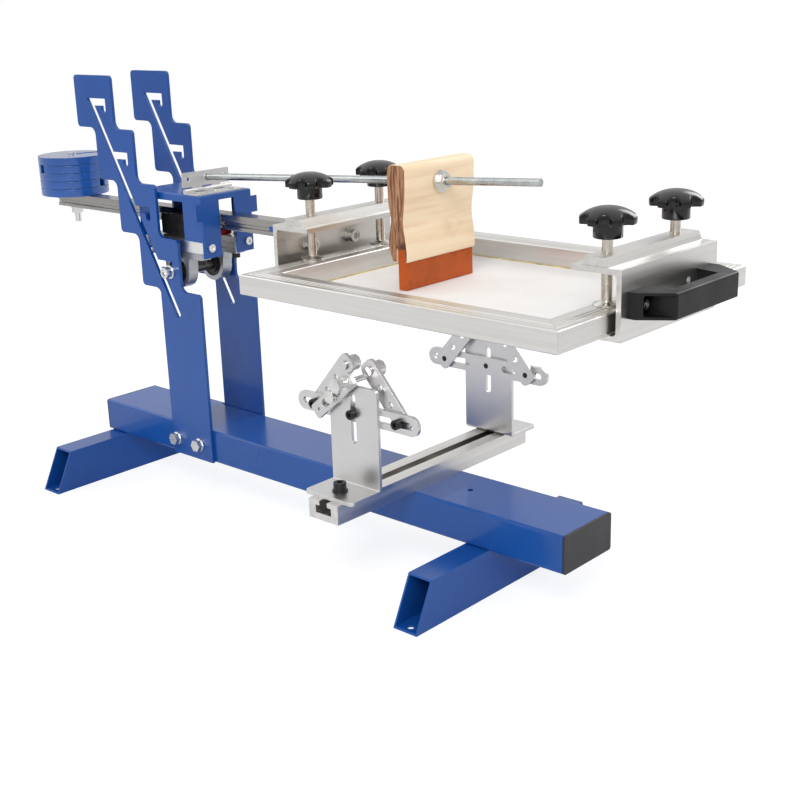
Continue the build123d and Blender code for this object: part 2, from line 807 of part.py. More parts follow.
# ================================================================ screen carriage
with BuildPart() as guide_rail:
    with BuildSketch(crosswise(rail_left)):
        rail_outline(0)
    extrude(amount=rail_right - rail_left)
    with BuildSketch(Plane.XY.offset(rail_top)):
        with Locations((weight_x, 0)):
            Circle(m8_radius + hole_clearance)
    extrude(amount=-rail_height, mode=Mode.SUBTRACT)
    with BuildSketch(Plane.XY.offset(rail_top)):
        with Locations(*[(rail_right - inset, 0) for inset in angle_screw_inset]):
            Circle(m6_radius + hole_clearance)
    extrude(amount=-rail_height, mode=Mode.SUBTRACT)
save(guide_rail, "guide_rail")

with BuildPart() as counterweights:
    for k in range(weight_count):
        with BuildSketch(Plane.XY.offset(rail_top + k * weight_thickness)):
            with Locations((weight_x, 0)):
                Circle(weight_radius)
            with Locations(Location((weight_x, 0, 0), (0, 0, weight_slot_turns[k]))):
                with Locations((weight_radius / 2, 0)):
                    Rectangle(weight_radius, weight_slot_width, mode=Mode.SUBTRACT)
                Circle(weight_slot_width / 2, mode=Mode.SUBTRACT)
        extrude(amount=weight_thickness - weight_face_gap)
save(counterweights, "counterweights")

weights_top = rail_top + weight_count * weight_thickness - weight_face_gap
with BuildPart() as weight_bolt:
    spool(Plane.XY.offset(weights_top), (weight_x, 0), weight_head_radius, weight_head_height)
    spool(Plane.XY.offset(weights_top), (weight_x, 0), m8_radius,
          -(weights_top - rail_bottom + weight_bolt_tail))
    under_rail = Plane(origin=(0, 0, rail_bottom), x_dir=(1, 0, 0), z_dir=(0, 0, -1))
    spool(under_rail, (weight_x, 0), m8_washer_radius, m8_washer_thickness)
    hexagon(under_rail.offset(m8_washer_thickness), (weight_x, 0), m8_nut_flats, m8_nut_height)
save(weight_bolt, "weight_bolt")


def channel(web_outer, opens, length, clamp_x, clamp_ys, web_holes, web_hole_radius):
    """One C channel: a web at web_outer with two flanges reaching in the direction opens."""
    with BuildPart() as piece:
        with BuildSketch(facing(length / 2)) as section:
            Polygon(
                (web_outer, channel_bottom),
                (web_outer + opens * channel_flange, channel_bottom),
                (web_outer + opens * channel_flange, channel_bottom + channel_wall),
                (web_outer + opens * channel_wall, channel_bottom + channel_wall),
                (web_outer + opens * channel_wall, channel_top - channel_wall),
                (web_outer + opens * channel_flange, channel_top - channel_wall),
                (web_outer + opens * channel_flange, channel_top),
                (web_outer, channel_top),
                align=None,
            )
            web_inner = web_outer + opens * channel_wall
            inner_corners = [v for v in section.vertices() if abs(v.X - web_inner) < match_tolerance]
            fillet(inner_corners, channel_inner_radius)
        extrude(amount=length)
        with BuildSketch(crosswise(web_outer)):
            with Locations(*web_holes):
                Circle(web_hole_radius)
        extrude(amount=opens * channel_wall, mode=Mode.SUBTRACT)
        with BuildSketch(Plane.XY.offset(channel_top)):
            with Locations(*[(clamp_x, y) for y in clamp_ys]):
                Circle(stud_radius + stud_running_clearance)
        extrude(amount=-channel_wall, mode=Mode.SUBTRACT)
    return piece


clamp_reach = channel_flange - clamp_bar_setback - clamp_bar_base / 2
rear_clamp_x = rear_channel_x + clamp_reach
front_clamp_x = front_channel_x - clamp_reach
rear_clamp_near_y = rear_clamp_near_inset - rear_channel_length / 2
rear_clamp_far_y = rear_channel_length / 2 - rear_clamp_far_inset
front_clamp_near_y = front_clamp_near_inset - front_channel_length / 2
front_clamp_far_y = front_channel_length / 2 - front_clamp_far_inset
rear_clamp_ys = (rear_clamp_near_y, rear_clamp_far_y)
front_clamp_ys = (front_clamp_near_y, front_clamp_far_y)
rear_web_holes = ((rear_web_hole_near_y, rear_web_hole_z), (rear_web_hole_far_y, rear_web_hole_z))
front_web_holes = ((-front_web_hole_y, front_web_hole_z), (front_web_hole_y, front_web_hole_z))
rear_channel = channel(
    rear_channel_x, 1, rear_channel_length, rear_clamp_x, rear_clamp_ys,
    rear_web_holes, m8_radius + hole_clearance,
)
save(rear_channel, "rear_channel")
with BuildPart() as front_channel:
    add(channel(
        front_channel_x, -1, front_channel_length, front_clamp_x, front_clamp_ys,
        front_web_holes, m6_radius + hole_clearance,
    ).part)
    with BuildSketch(crosswise(front_channel_x)):
        with Locations((-handle_screw_spacing / 2, handle_z), (handle_screw_spacing / 2, handle_z)):
            Circle(m5_radius + hole_clearance)
    extrude(amount=-channel_wall, mode=Mode.SUBTRACT)
save(front_channel, "front_channel")

angle_middle_y = (rear_web_hole_near_y + rear_web_hole_far_y) / 2
with BuildPart() as rail_angle:
    with BuildSketch(facing(angle_middle_y + angle_length / 2)):
        Polygon(
            (rear_channel_x, angle_bottom),
            (rear_channel_x, rail_top + angle_wall),
            (rear_channel_x - angle_leg, rail_top + angle_wall),
            (rear_channel_x - angle_leg, rail_top),
            (rear_channel_x - angle_wall, rail_top),
            (rear_channel_x - angle_wall, angle_bottom),
            align=None,
        )
    extrude(amount=angle_length)
    with BuildSketch(Plane.XY.offset(rail_top + angle_wall)):
        with Locations(*[(rail_right - inset, 0) for inset in angle_screw_inset]):
            Circle(m6_radius + hole_clearance)
    extrude(amount=-angle_wall, mode=Mode.SUBTRACT)
    with BuildSketch(crosswise(rear_channel_x)):
        with Locations(*rear_web_holes):
            Circle(m8_radius + hole_clearance)
    extrude(amount=-angle_wall, mode=Mode.SUBTRACT)
save(rail_angle, "rail_angle")

with BuildPart() as channel_screws:
    web_inner = rear_channel_x + channel_wall
    inward = Plane(origin=(web_inner, 0, 0), x_dir=(0, 1, 0), z_dir=(1, 0, 0))
    behind = Plane(origin=(rear_channel_x - angle_wall, 0, 0), x_dir=(0, -1, 0), z_dir=(-1, 0, 0))
    for hole_y, hole_z in rear_web_holes:
        spool(inward, (hole_y, hole_z), m8_washer_radius, m8_washer_thickness)
        socket_head(inward.offset(m8_washer_thickness), (hole_y, hole_z), m8_head_radius, m8_head_height)
        spool(inward, (hole_y, hole_z), m8_radius,
              -(channel_wall + angle_wall + m8_nut_height + 2 * screw_tail))
        hexagon(behind, (-hole_y, hole_z), m8_nut_flats, m8_nut_height)
    rail_under = Plane(origin=(0, 0, rail_bottom), x_dir=(1, 0, 0), z_dir=(0, 0, -1))
    for inset in angle_screw_inset:
        centre = (rail_right - inset, 0)
        hexagon(Plane.XY.offset(rail_top + angle_wall), centre, m6_nut_flats, m6_nut_height)
        above_nut = m6_nut_height + screw_tail
        spool(Plane.XY.offset(rail_top + angle_wall + above_nut), centre, m6_radius,
              -(rail_height + angle_wall + above_nut))
        socket_head(rail_under, centre, m6_head_radius, rail_screw_head_height)
    front_inner = front_channel_x - channel_wall
    into = Plane(origin=(front_inner, 0, 0), x_dir=(0, -1, 0), z_dir=(-1, 0, 0))
    for screw_y in (-handle_screw_spacing / 2, handle_screw_spacing / 2):
        hexagon(into, (-screw_y, handle_z), m5_nut_flats, m5_nut_height)
        tip = m5_nut_height + screw_tail
        spool(into.offset(tip), (-screw_y, handle_z), m5_radius, -(tip + channel_wall + handle_seat))
        seat = Plane(
            origin=(front_channel_x + handle_seat, 0, 0), x_dir=(0, 1, 0), z_dir=(1, 0, 0)
        )
        socket_head(seat, (screw_y, handle_z), m5_head_radius, m5_head_height)
save(channel_screws, "channel_screws")

with BuildPart() as clamp_bars:
    for length, clamp_x, clamp_ys in (
        (rear_channel_length, rear_clamp_x, rear_clamp_ys),
        (front_channel_length, front_clamp_x, front_clamp_ys),
    ):
        half_length = length / 2 - clamp_bar_margin
        with BuildSketch(facing(half_length)):
            Polygon(
                (clamp_x - clamp_bar_base / 2, channel_top),
                (clamp_x + clamp_bar_base / 2, channel_top),
                (clamp_x + clamp_bar_top / 2, channel_top + clamp_bar_height),
                (clamp_x - clamp_bar_top / 2, channel_top + clamp_bar_height),
                align=None,
            )
        extrude(amount=2 * half_length)
        with BuildSketch(Plane.XY.offset(channel_top)):
            with Locations(*[(clamp_x, y) for y in clamp_ys]):
                Circle(stud_radius + stud_running_clearance)
        extrude(amount=clamp_bar_height, mode=Mode.SUBTRACT)
save(clamp_bars, "clamp_bars")

frame_middle_x = (frame_left + frame_right) / 2


def frame_bar_sketch(length, depth, inset, turn):
    """Adds one mitred bar of the frame, lying along the side at -depth / 2 before the turn."""
    with Locations(Location((frame_middle_x, 0, 0), (0, 0, turn))):
        Polygon(
            (inset - length / 2 + frame_joint, inset - depth / 2),
            (length / 2 - inset - frame_joint, inset - depth / 2),
            (length / 2 - frame_bar + inset - frame_joint, frame_bar - inset - depth / 2),
            (frame_bar - inset - length / 2 + frame_joint, frame_bar - inset - depth / 2),
            align=None,
        )


with BuildPart() as screen_frame:
    for length, depth, turn in (
        (frame_length, frame_width, 0),
        (frame_length, frame_width, 180),
        (frame_width, frame_length, 90),
        (frame_width, frame_length, 270),
    ):
        with BuildSketch(Plane.XY.offset(frame_bottom)):
            frame_bar_sketch(length, depth, 0, turn)
        extrude(amount=frame_height)
    for length, depth, turn in (
        (frame_length, frame_width, 0),
        (frame_length, frame_width, 180),
        (frame_width, frame_length, 90),
        (frame_width, frame_length, 270),
    ):
        with BuildSketch(Plane.XY.offset(frame_bottom + frame_wall)):
            frame_bar_sketch(length, depth, frame_wall, turn)
        extrude(amount=frame_height - 2 * frame_wall, mode=Mode.SUBTRACT)
save(screen_frame, "screen_frame")

with BuildPart() as screen_mesh:
    with BuildSketch(Plane.XY.offset(frame_bottom - mesh_thickness)):
        with Locations(((frame_left + frame_right) / 2, 0)):
            Rectangle(frame_length - 2 * mesh_margin, frame_width - 2 * mesh_margin)
    extrude(amount=mesh_thickness)
save(screen_mesh, "screen_mesh")

with BuildPart() as pull_handle:
    half_low = handle_length / 2
    half_bar = handle_bar_length / 2
    with BuildSketch(Plane.XY.offset(handle_z - handle_depth / 2)):
        Polygon(
            (front_channel_x, -half_low),
            (front_channel_x + handle_foot_depth, -half_low),
            (front_channel_x + handle_reach, -half_bar),
            (front_channel_x + handle_reach, half_bar),
            (front_channel_x + handle_foot_depth, half_low),
            (front_channel_x, half_low),
            align=None,
        )
        inner_end = half_low - handle_foot_width
        Polygon(
            (front_channel_x, -inner_end),
            (front_channel_x + handle_reach - handle_bar_thickness, handle_inner_slant - inner_end),
            (front_channel_x + handle_reach - handle_bar_thickness, inner_end - handle_inner_slant),
            (front_channel_x, inner_end),
            align=None,
            mode=Mode.SUBTRACT,
        )
    extrude(amount=handle_depth)
    outer = pull_handle.faces().sort_by(Axis.X)[-1]
    fillet(outer.edges().filter_by(Axis.Y), handle_outer_radius)
    pocket_y = half_low - handle_pocket_inset - handle_pocket_width / 2
    for end in (-1, 1):
        screw_y = end * handle_screw_spacing / 2
        with BuildSketch(crosswise(front_channel_x + handle_seat)):
            with Locations((end * pocket_y, handle_z)):
                RectangleRounded(handle_pocket_width, handle_pocket_height, handle_pocket_corner)
        extrude(amount=handle_reach, mode=Mode.SUBTRACT)
        with BuildSketch(crosswise(front_channel_x)):
            with Locations((screw_y, handle_z)):
                Circle(m5_radius + hole_clearance)
        extrude(amount=handle_seat, mode=Mode.SUBTRACT)
save(pull_handle, "pull_handle")

# ---------------------------------------------------------------- frame clamps
clamps = {
    "rear_near": (rear_clamp_x, rear_clamp_near_y, rear_knob_bottom),
    "rear_far": (rear_clamp_x, rear_clamp_far_y, rear_knob_bottom),
    "front_near": (front_clamp_x, front_clamp_near_y, front_knob_bottom),
    "front_far": (front_clamp_x, front_clamp_far_y, front_knob_bottom),
}
for place, (clamp_x, clamp_y, knob_bottom) in clamps.items():
    centre = (clamp_x, clamp_y)
    with BuildPart() as clamp_stud:
        spool(Plane.XY.offset(frame_top), centre, pad_foot_radius, pad_foot_height)
        spool(Plane.XY.offset(frame_top + pad_foot_height), centre, pad_radius, pad_height)
        spool(Plane.XY.offset(frame_top), centre, stud_radius,
              knob_bottom + knob_bore_depth - knob_bore_gap - frame_top)
    save(clamp_stud, f"clamp_stud_{place}")
    with BuildPart() as knob:
        spool(Plane.XY.offset(knob_bottom), centre, knob_hub_radius, knob_hub_height)
        with BuildSketch(Plane.XY.offset(knob_bottom + knob_hub_height)):
            with Locations(centre):
                Circle(knob_radius)
                with PolarLocations(knob_radius + knob_lobe_gap_offset, knob_lobes, knob_turn):
                    Circle(knob_lobe_gap_radius, mode=Mode.SUBTRACT)
        extrude(amount=knob_head_height)
        with BuildSketch(Plane.XY.offset(knob_bottom + knob_hub_height + knob_head_height)):
            with Locations(centre):
                Circle(knob_radius - knob_dome_inset)
                with PolarLocations(knob_radius + knob_lobe_gap_offset, knob_lobes, knob_turn):
                    Circle(knob_lobe_gap_radius + knob_dome_inset / 2, mode=Mode.SUBTRACT)
        extrude(amount=knob_dome_height / 2)
        with BuildSketch(Plane.XY.offset(knob_bottom + knob_hub_height + knob_head_height)):
            with Locations(centre):
                Circle(knob_radius + knob_lobe_gap_offset - knob_lobe_gap_radius - knob_dome_inset)
        extrude(amount=knob_dome_height)
        with BuildSketch(Plane.XY.offset(knob_bottom)):
            with Locations(centre):
                Circle(stud_radius + stud_running_clearance)
        extrude(amount=knob_bore_depth, mode=Mode.SUBTRACT)
    save(knob, f"clamp_knob_{place}")

# ================================================================ squeegee arm
knuckle_length = hinge_length / 5
with BuildPart() as hinge_lower_leaf:
    with BuildSketch(Plane.XY.offset(bracket_top)):
        with Locations((hinge_x + hinge_leaf_gap, hinge_near_y)):
            Rectangle(hinge_lower_reach - hinge_leaf_gap, hinge_length, align=Align.MIN)
        with Locations(*[(hinge_screw_x, y) for y in hinge_screw_ys]):
            Circle(hinge_hole_radius, mode=Mode.SUBTRACT)
    extrude(amount=hinge_leaf)
    for k in (0, 2, 4):
        start = hinge_near_y + k * knuckle_length + hinge_gap / 2
        with BuildSketch(facing(start)):
            with Locations((hinge_x, hinge_z)):
                Circle(hinge_knuckle_radius - hinge_knuckle_gap)
            with Locations((hinge_x, bracket_top)):
                Rectangle(hinge_leaf_gap + hinge_leaf / 2, hinge_leaf, align=Align.MIN)
        extrude(amount=-(knuckle_length - hinge_gap))
    spool(facing(hinge_near_y), (hinge_x, hinge_z), hinge_pin_radius, -hinge_length)
save(hinge_lower_leaf, "hinge_lower_leaf")

with BuildPart() as hinge_upper_leaf:
    across = Plane(
        origin=(hinge_x, hinge_near_y, hinge_z),
        x_dir=(arm_cos, 0, arm_sin),
        z_dir=(0, -1, 0),
    )
    for k in (1, 3):
        start = k * knuckle_length + hinge_gap / 2
        with BuildSketch(across.offset(-start)):
            Circle(hinge_knuckle_radius - hinge_knuckle_gap)
            with Locations((-hinge_leaf_offset, hinge_tongue / 2)):
                Rectangle(hinge_leaf, hinge_tongue)
        extrude(amount=-(knuckle_length - hinge_gap))
    with BuildSketch(across):
        with Locations((-hinge_leaf_offset, (hinge_upper_reach + hinge_leaf_start) / 2)):
            Rectangle(hinge_leaf, hinge_upper_reach - hinge_leaf_start)
    extrude(amount=-hinge_length)
    for k in (1, 3):
        with BuildSketch(facing(hinge_near_y + k * knuckle_length)):
            with Locations((hinge_x, hinge_z)):
                Circle(hinge_pin_radius + shaft_running_clearance)
        extrude(amount=-knuckle_length, mode=Mode.SUBTRACT)
    rod_face = Plane(
        origin=(hinge_x, 0, hinge_z), x_dir=(0, 1, 0), z_dir=(arm_cos, 0, arm_sin)
    )
    with BuildSketch(rod_face.offset(-2 * hinge_knuckle_radius)):
        with Locations((0, rod_height)):
            Circle(m8_radius + hole_clearance)
        with Locations(*[
            (hinge_near_y + hinge_length * share, rod_height) for share in hinge_hole_shares
        ]):
            Circle(hinge_hole_radius)
    extrude(amount=4 * hinge_knuckle_radius, mode=Mode.SUBTRACT)
save(hinge_upper_leaf, "hinge_upper_leaf")

leaf_front = hinge_leaf / 2 - hinge_leaf_offset
with BuildPart() as threaded_rod:
    with BuildSketch(rod_face.offset(leaf_front - hinge_leaf - rod_tail)):
        with Locations((0, rod_height)):
            Circle(rod_radius)
    extrude(amount=rod_reach + rod_tail + hinge_leaf - leaf_front)
    hexagon(rod_face.offset(leaf_front), (0, rod_height), m8_nut_flats, m8_nut_height)
    hexagon(rod_face.offset(leaf_front - hinge_leaf - m8_nut_height), (0, rod_height),
            m8_nut_flats, m8_nut_height)
save(threaded_rod, "threaded_rod")

# ---------------------------------------------------------------- squeegee
squeegee_hole_z = rod_z(squeegee_x)
squeegee_face = [
    (squeegee_foot_offset, squeegee_foot_thickness / 2, 0),
    (0, squeegee_bulge_thickness / 2, squeegee_bulge_height),
    (0, squeegee_waist_thickness / 2, squeegee_waist_height),
    (0, squeegee_thickness / 2, squeegee_shoulder_height),
]
squeegee_crown_low = squeegee_top - squeegee_crown
crown_inset = squeegee_crown * (1 - sin(radians(45)))
with BuildPart() as squeegee_handle:
    with BuildSketch(facing(squeegee_width / 2)):
        with BuildLine():
            for side in (-1, 1):
                flank = [
                    (squeegee_x + offset + side * half, squeegee_bottom + z)
                    for offset, half, z in squeegee_face
                ]
                Spline(*flank, tangents=((side * squeegee_foot_flare, 1), (0, 1)))
                Line(flank[-1], (squeegee_x + side * squeegee_thickness / 2, squeegee_crown_low))
                ThreePointArc(
                    (squeegee_x + side * squeegee_thickness / 2, squeegee_crown_low),
                    (squeegee_x + side * (squeegee_thickness / 2 - crown_inset),
                     squeegee_top - crown_inset),
                    (squeegee_x + side * (squeegee_thickness / 2 - squeegee_crown), squeegee_top),
                )
            foot_middle = squeegee_x + squeegee_foot_offset
            Line(
                (foot_middle - squeegee_foot_thickness / 2, squeegee_bottom),
                (foot_middle + squeegee_foot_thickness / 2, squeegee_bottom),
            )
            Line(
                (squeegee_x - squeegee_thickness / 2 + squeegee_crown, squeegee_top),
                (squeegee_x + squeegee_thickness / 2 - squeegee_crown, squeegee_top),
            )
        make_face()
    extrude(amount=squeegee_width)
    with BuildSketch(Plane.XY.offset(squeegee_bottom)):
        with Locations((squeegee_x + blade_offset, 0)):
            Rectangle(blade_thickness + 2 * blade_fit, squeegee_width)
    extrude(amount=blade_socket + blade_fit, mode=Mode.SUBTRACT)
    with BuildSketch(crosswise(squeegee_x - squeegee_thickness)):
        with Locations((0, squeegee_hole_z)):
            SlotOverall(
                2 * (rod_radius + squeegee_hole_clearance) + squeegee_hole_play,
                2 * (rod_radius + squeegee_hole_clearance),
                rotation=90,
            )
    extrude(amount=2 * squeegee_thickness, mode=Mode.SUBTRACT)
save(squeegee_handle, "squeegee_handle")

with BuildPart() as squeegee_blade:
    with BuildSketch(Plane.XY.offset(frame_bottom + blade_gap)):
        with Locations((squeegee_x + blade_offset, 0)):
            Rectangle(blade_thickness, squeegee_width - 2 * blade_end_inset)
    extrude(amount=squeegee_bottom + blade_socket - frame_bottom - blade_gap)
save(squeegee_blade, "squeegee_blade")

squeegee_faces = (squeegee_x - squeegee_thickness / 2, squeegee_x + squeegee_thickness / 2)
washer_stand_off = washer_large_radius * arm_sin / arm_cos + washer_gap
with BuildPart() as squeegee_nuts:
    for face_x, outward in ((squeegee_faces[0], -1), (squeegee_faces[1], 1)):
        seat = Plane(
            origin=(face_x + outward * washer_stand_off, 0, rod_z(face_x + outward * washer_stand_off)),
            x_dir=(0, outward, 0),
            z_dir=(outward * arm_cos, 0, outward * arm_sin),
        )
        spool(seat, (0, 0), washer_large_radius, washer_large_thickness, rod_radius + rod_running_clearance)
        hexagon(seat.offset(washer_large_thickness), (0, 0), m8_nut_flats, m8_nut_height,
                rod_radius + rod_running_clearance)
save(squeegee_nuts, "squeegee_nuts")

# ================================================================ cradle
with BuildPart() as t_rail:
    with BuildSketch(facing(t_rail_length / 2)):
        with Locations((t_rail_x, beam_top + t_rail_height / 2)):
            Rectangle(t_rail_width, t_rail_height)
        with Locations((t_rail_x, t_rail_top - t_slot_lip / 2)):
            Rectangle(t_slot_mouth, t_slot_lip, mode=Mode.SUBTRACT)
        with Locations((t_rail_x, t_rail_top - t_slot_lip - t_slot_height / 2)):
            Rectangle(t_slot_width, t_slot_height, mode=Mode.SUBTRACT)
    extrude(amount=t_rail_length)
    with BuildSketch(Plane.XY.offset(beam_top)):
        with Locations((t_rail_x, t_rail_screw_y), (t_rail_x, -t_rail_screw_y)):
            Circle(m6_radius + hole_clearance)
    extrude(amount=t_rail_height - t_slot_lip - t_slot_height, mode=Mode.SUBTRACT)
save(t_rail, "t_rail")

stop_cos = cos(radians(stop_turn))
stop_sin = sin(radians(stop_turn))


def stop_place(along):
    """Place on the stop bar's middle line, measured from its lower hole."""
    return (stop_low_x + along * stop_cos, stop_low_z + along * stop_sin)


def outward_face(y, side):
    """Upright plane at depth y facing away from the middle; side is -1 near and 1 far."""
    return Plane(origin=(0, y, 0), x_dir=(-side, 0, 0), z_dir=(0, side, 0))


for place, side, plate_y in (("near", -1, near_plate_y), ("far", 1, far_plate_y)):
    inner_y = plate_y - side * l_wall
    cross_inner_y = inner_y - side * cross_thickness
    arm_inner_y = cross_inner_y - side * arm_thickness
    with BuildPart() as l_bracket:
        with BuildSketch(crosswise(t_rail_x - l_width / 2)):
            with BuildLine():
                FilletPolyline(
                    (inner_y, t_rail_top + l_height),
                    (inner_y, t_rail_top),
                    (plate_y + side * (l_foot - l_wall), t_rail_top),
                    radius=l_bend,
                )
                Line(
                    (plate_y + side * (l_foot - l_wall), t_rail_top),
                    (plate_y + side * (l_foot - l_wall), t_rail_top + l_wall),
                )
                FilletPolyline(
                    (plate_y + side * (l_foot - l_wall), t_rail_top + l_wall),
                    (plate_y, t_rail_top + l_wall),
                    (plate_y, t_rail_top + l_height),
                    radius=l_bend - l_wall,
                )
                Line((plate_y, t_rail_top + l_height), (inner_y, t_rail_top + l_height))
            make_face()
        extrude(amount=l_width)
        upright_end = l_bracket.faces().sort_by(Axis.Z)[-1].edges().filter_by(Axis.Y)
        foot_end = l_bracket.faces().sort_by(Axis.Y)[0 if side < 0 else -1].edges().filter_by(Axis.Z)
        fillet(upright_end + foot_end, l_corner)
        with BuildSketch(facing(inner_y)):
            with Locations((t_rail_x, (l_slot_bottom + l_slot_top) / 2)):
                SlotOverall(l_slot_top - l_slot_bottom, cradle_slot_width, rotation=90)
            if side < 0:
                with Locations(stop_place(stop_clamp)):
                    Circle(m8_radius + thread_clearance)
        extrude(amount=-side * l_wall if side > 0 else l_wall, mode=Mode.SUBTRACT)
        with BuildSketch(Plane.XY.offset(t_rail_top)):
            with Locations((t_rail_x, plate_y + side * l_screw_y)):
                Circle(m8_radius + hole_clearance)
        extrude(amount=l_wall, mode=Mode.SUBTRACT)
    save(l_bracket, f"l_bracket_{place}")

    with BuildPart() as bracket_fasteners:
        centre = (t_rail_x, plate_y + side * l_screw_y)
        foot_top = Plane.XY.offset(t_rail_top + l_wall)
        spool(foot_top, centre, m8_washer_radius, m8_washer_thickness)
        socket_head(foot_top.offset(m8_washer_thickness), centre, m8_head_radius, m8_head_height)
        spool(foot_top, centre, m8_radius, t_slot_bottom_gap - l_wall - t_slot_lip - t_slot_height)
        with BuildSketch(Plane.XY.offset(t_rail_top - t_slot_lip - t_nut_clearance)):
            with Locations(centre):
                Rectangle(t_slot_width - 2 * t_nut_clearance, t_nut_length)
        extrude(amount=-t_nut_height)
    save(bracket_fasteners, f"bracket_fasteners_{place}")

    with BuildPart() as crossbar:
        with BuildSketch(facing(inner_y)):
            with Locations((t_rail_x, cross_z)):
                SlotOverall(2 * cross_half, cross_height)
                Circle(m6_radius + thread_clearance, mode=Mode.SUBTRACT)
            with Locations(*[
                (t_rail_x + end * (cross_slot_inner + cross_slot_outer) / 2, cross_z) for end in (-1, 1)
            ]):
                SlotOverall(
                    cross_slot_outer - cross_slot_inner, cradle_slot_width, mode=Mode.SUBTRACT
                )
        extrude(amount=side * cross_thickness)
    save(crossbar, f"crossbar_{place}")

    with BuildPart() as crossbar_screws:
        socket_head(outward_face(plate_y, side), (-side * t_rail_x, cross_z), m6_head_radius,
                    m6_head_height)
        spool(outward_face(plate_y, side), (-side * t_rail_x, cross_z), m6_radius,
              -(l_wall + cross_thickness))
        for end in (-1, 1):
            pivot = (-side * (t_rail_x + end * arm_foot), cross_z)
            socket_head(outward_face(inner_y, side), pivot, m6_head_radius, m6_head_height)
            spool(outward_face(inner_y, side), pivot, m6_radius, -(cross_thickness + arm_thickness))
    save(crossbar_screws, f"crossbar_screws_{place}")

    for end_name, end in (("left", -1), ("right", 1)):
        foot = (t_rail_x + end * arm_foot, cross_z)
        turn = arm_lean if end < 0 else 180 - arm_lean
        with BuildPart() as cradle_arm:
            with BuildSketch(facing(cross_inner_y)):
                with Locations(Location((*foot, 0), (0, 0, turn))):
                    with Locations((arm_pitch * (arm_holes - 1) / 2, 0)):
                        RectangleRounded(
                            arm_pitch * (arm_holes - 1) + arm_width, arm_width, arm_corner
                        )
                    Circle(m6_radius + shaft_running_clearance, mode=Mode.SUBTRACT)
                    with Locations(*[(k * arm_pitch, 0) for k in range(1, arm_holes)]):
                        Circle(axle_radius + shaft_running_clearance, mode=Mode.SUBTRACT)
            extrude(amount=side * arm_thickness)
        save(cradle_arm, f"cradle_arm_{place}_{end_name}")

        axle = (t_rail_x + end * arm_top, roller_z)
        with BuildPart() as roller:
            spool(facing(arm_inner_y - side * roller_side_gap), axle, roller_radius, side * roller_width)
            fillet(roller.edges().filter_by(GeomType.CIRCLE), roller_edge)
            spool(facing(cross_inner_y + side * axle_side_gap), axle, axle_radius,
                  side * (arm_thickness + 2 * roller_side_gap + axle_side_gap))
            spool(facing(cross_inner_y + side * axle_side_gap), axle, axle_head_radius,
                  -side * axle_head_height)
        save(roller, f"roller_{place}_{end_name}")

with BuildPart() as stop_bar:
    bar_back_y = near_plate_y - stop_spacer
    with BuildSketch(facing(bar_back_y)):
        with Locations(Location((stop_low_x, stop_low_z, 0), (0, 0, stop_turn))):
            with Locations((stop_reach / 2, 0)):
                RectangleRounded(stop_reach + stop_width, stop_width, stop_corner)
            with Locations(((stop_slot_start + stop_slot_end) / 2, 0)):
                SlotOverall(stop_slot_end - stop_slot_start, stop_slot_width, mode=Mode.SUBTRACT)
            Circle(stop_low_hole_radius, mode=Mode.SUBTRACT)
            with Locations((stop_reach, 0)):
                Circle(m8_radius + thread_clearance, mode=Mode.SUBTRACT)
    extrude(amount=stop_thickness)
save(stop_bar, "stop_bar")

with BuildPart() as stop_bolt:
    bar_front_y = near_plate_y - stop_spacer - stop_thickness
    clamp = stop_place(stop_clamp)
    spool(facing(near_plate_y), clamp, m8_washer_radius, stop_spacer, m8_radius + thread_clearance)
    spool(facing(bar_front_y), clamp, m8_head_radius, stop_head_height)
    spool(facing(bar_front_y), clamp, m8_radius,
          stop_screw_gap - stop_thickness - stop_spacer - l_wall)
    pin = stop_place(stop_reach)
    hexagon(facing(bar_front_y), pin, m8_nut_flats, stop_nut_height)
    spool(facing(bar_front_y), pin, m8_radius, stop_bolt_length)
    hexagon(facing(bar_front_y - stop_bolt_length), pin, m8_nut_flats, stop_bolt_head_height)
    spool(facing(bar_front_y), pin, m8_radius, -stop_thickness)
    spool(facing(bar_back_y), pin, stop_pin_radius, -stop_pin_length)
save(stop_bolt, "stop_bolt")

print("cradle done")
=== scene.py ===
# Tabletop screen printing press for round work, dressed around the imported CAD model.
import bmesh
import bpy
import json
import math
from mathutils import Matrix, Vector


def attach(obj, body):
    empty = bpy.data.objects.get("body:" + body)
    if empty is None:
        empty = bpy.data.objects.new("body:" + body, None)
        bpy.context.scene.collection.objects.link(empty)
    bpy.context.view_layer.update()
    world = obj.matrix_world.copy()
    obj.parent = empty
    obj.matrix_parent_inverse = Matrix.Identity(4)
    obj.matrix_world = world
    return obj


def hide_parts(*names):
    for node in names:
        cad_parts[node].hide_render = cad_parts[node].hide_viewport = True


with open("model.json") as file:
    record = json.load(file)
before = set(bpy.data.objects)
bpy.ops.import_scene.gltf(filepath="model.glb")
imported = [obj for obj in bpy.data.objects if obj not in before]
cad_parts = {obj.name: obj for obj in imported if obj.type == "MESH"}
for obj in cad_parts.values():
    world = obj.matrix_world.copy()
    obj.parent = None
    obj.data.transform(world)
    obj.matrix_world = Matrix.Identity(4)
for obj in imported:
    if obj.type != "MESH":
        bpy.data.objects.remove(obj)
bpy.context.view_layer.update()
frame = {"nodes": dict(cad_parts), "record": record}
mm = 0.001
bodyOf = {node: body for body, nodes in frame["record"]["behaviour"]["bodies"].items() for node in nodes}
scene = bpy.context.scene
scene.view_settings.view_transform = "Standard"


def newObject(name, data):
    thing = bpy.data.objects.new(name, data)
    scene.collection.objects.link(thing)
    return thing


# Node sockets take a link from another socket, or a plain value; a colour is three numbers.
def feed(tree, socket, value):
    if isinstance(value, bpy.types.NodeSocket):
        tree.links.new(value, socket)
    elif socket.type == "RGBA":
        socket.default_value = (*value, 1)
    else:
        socket.default_value = value


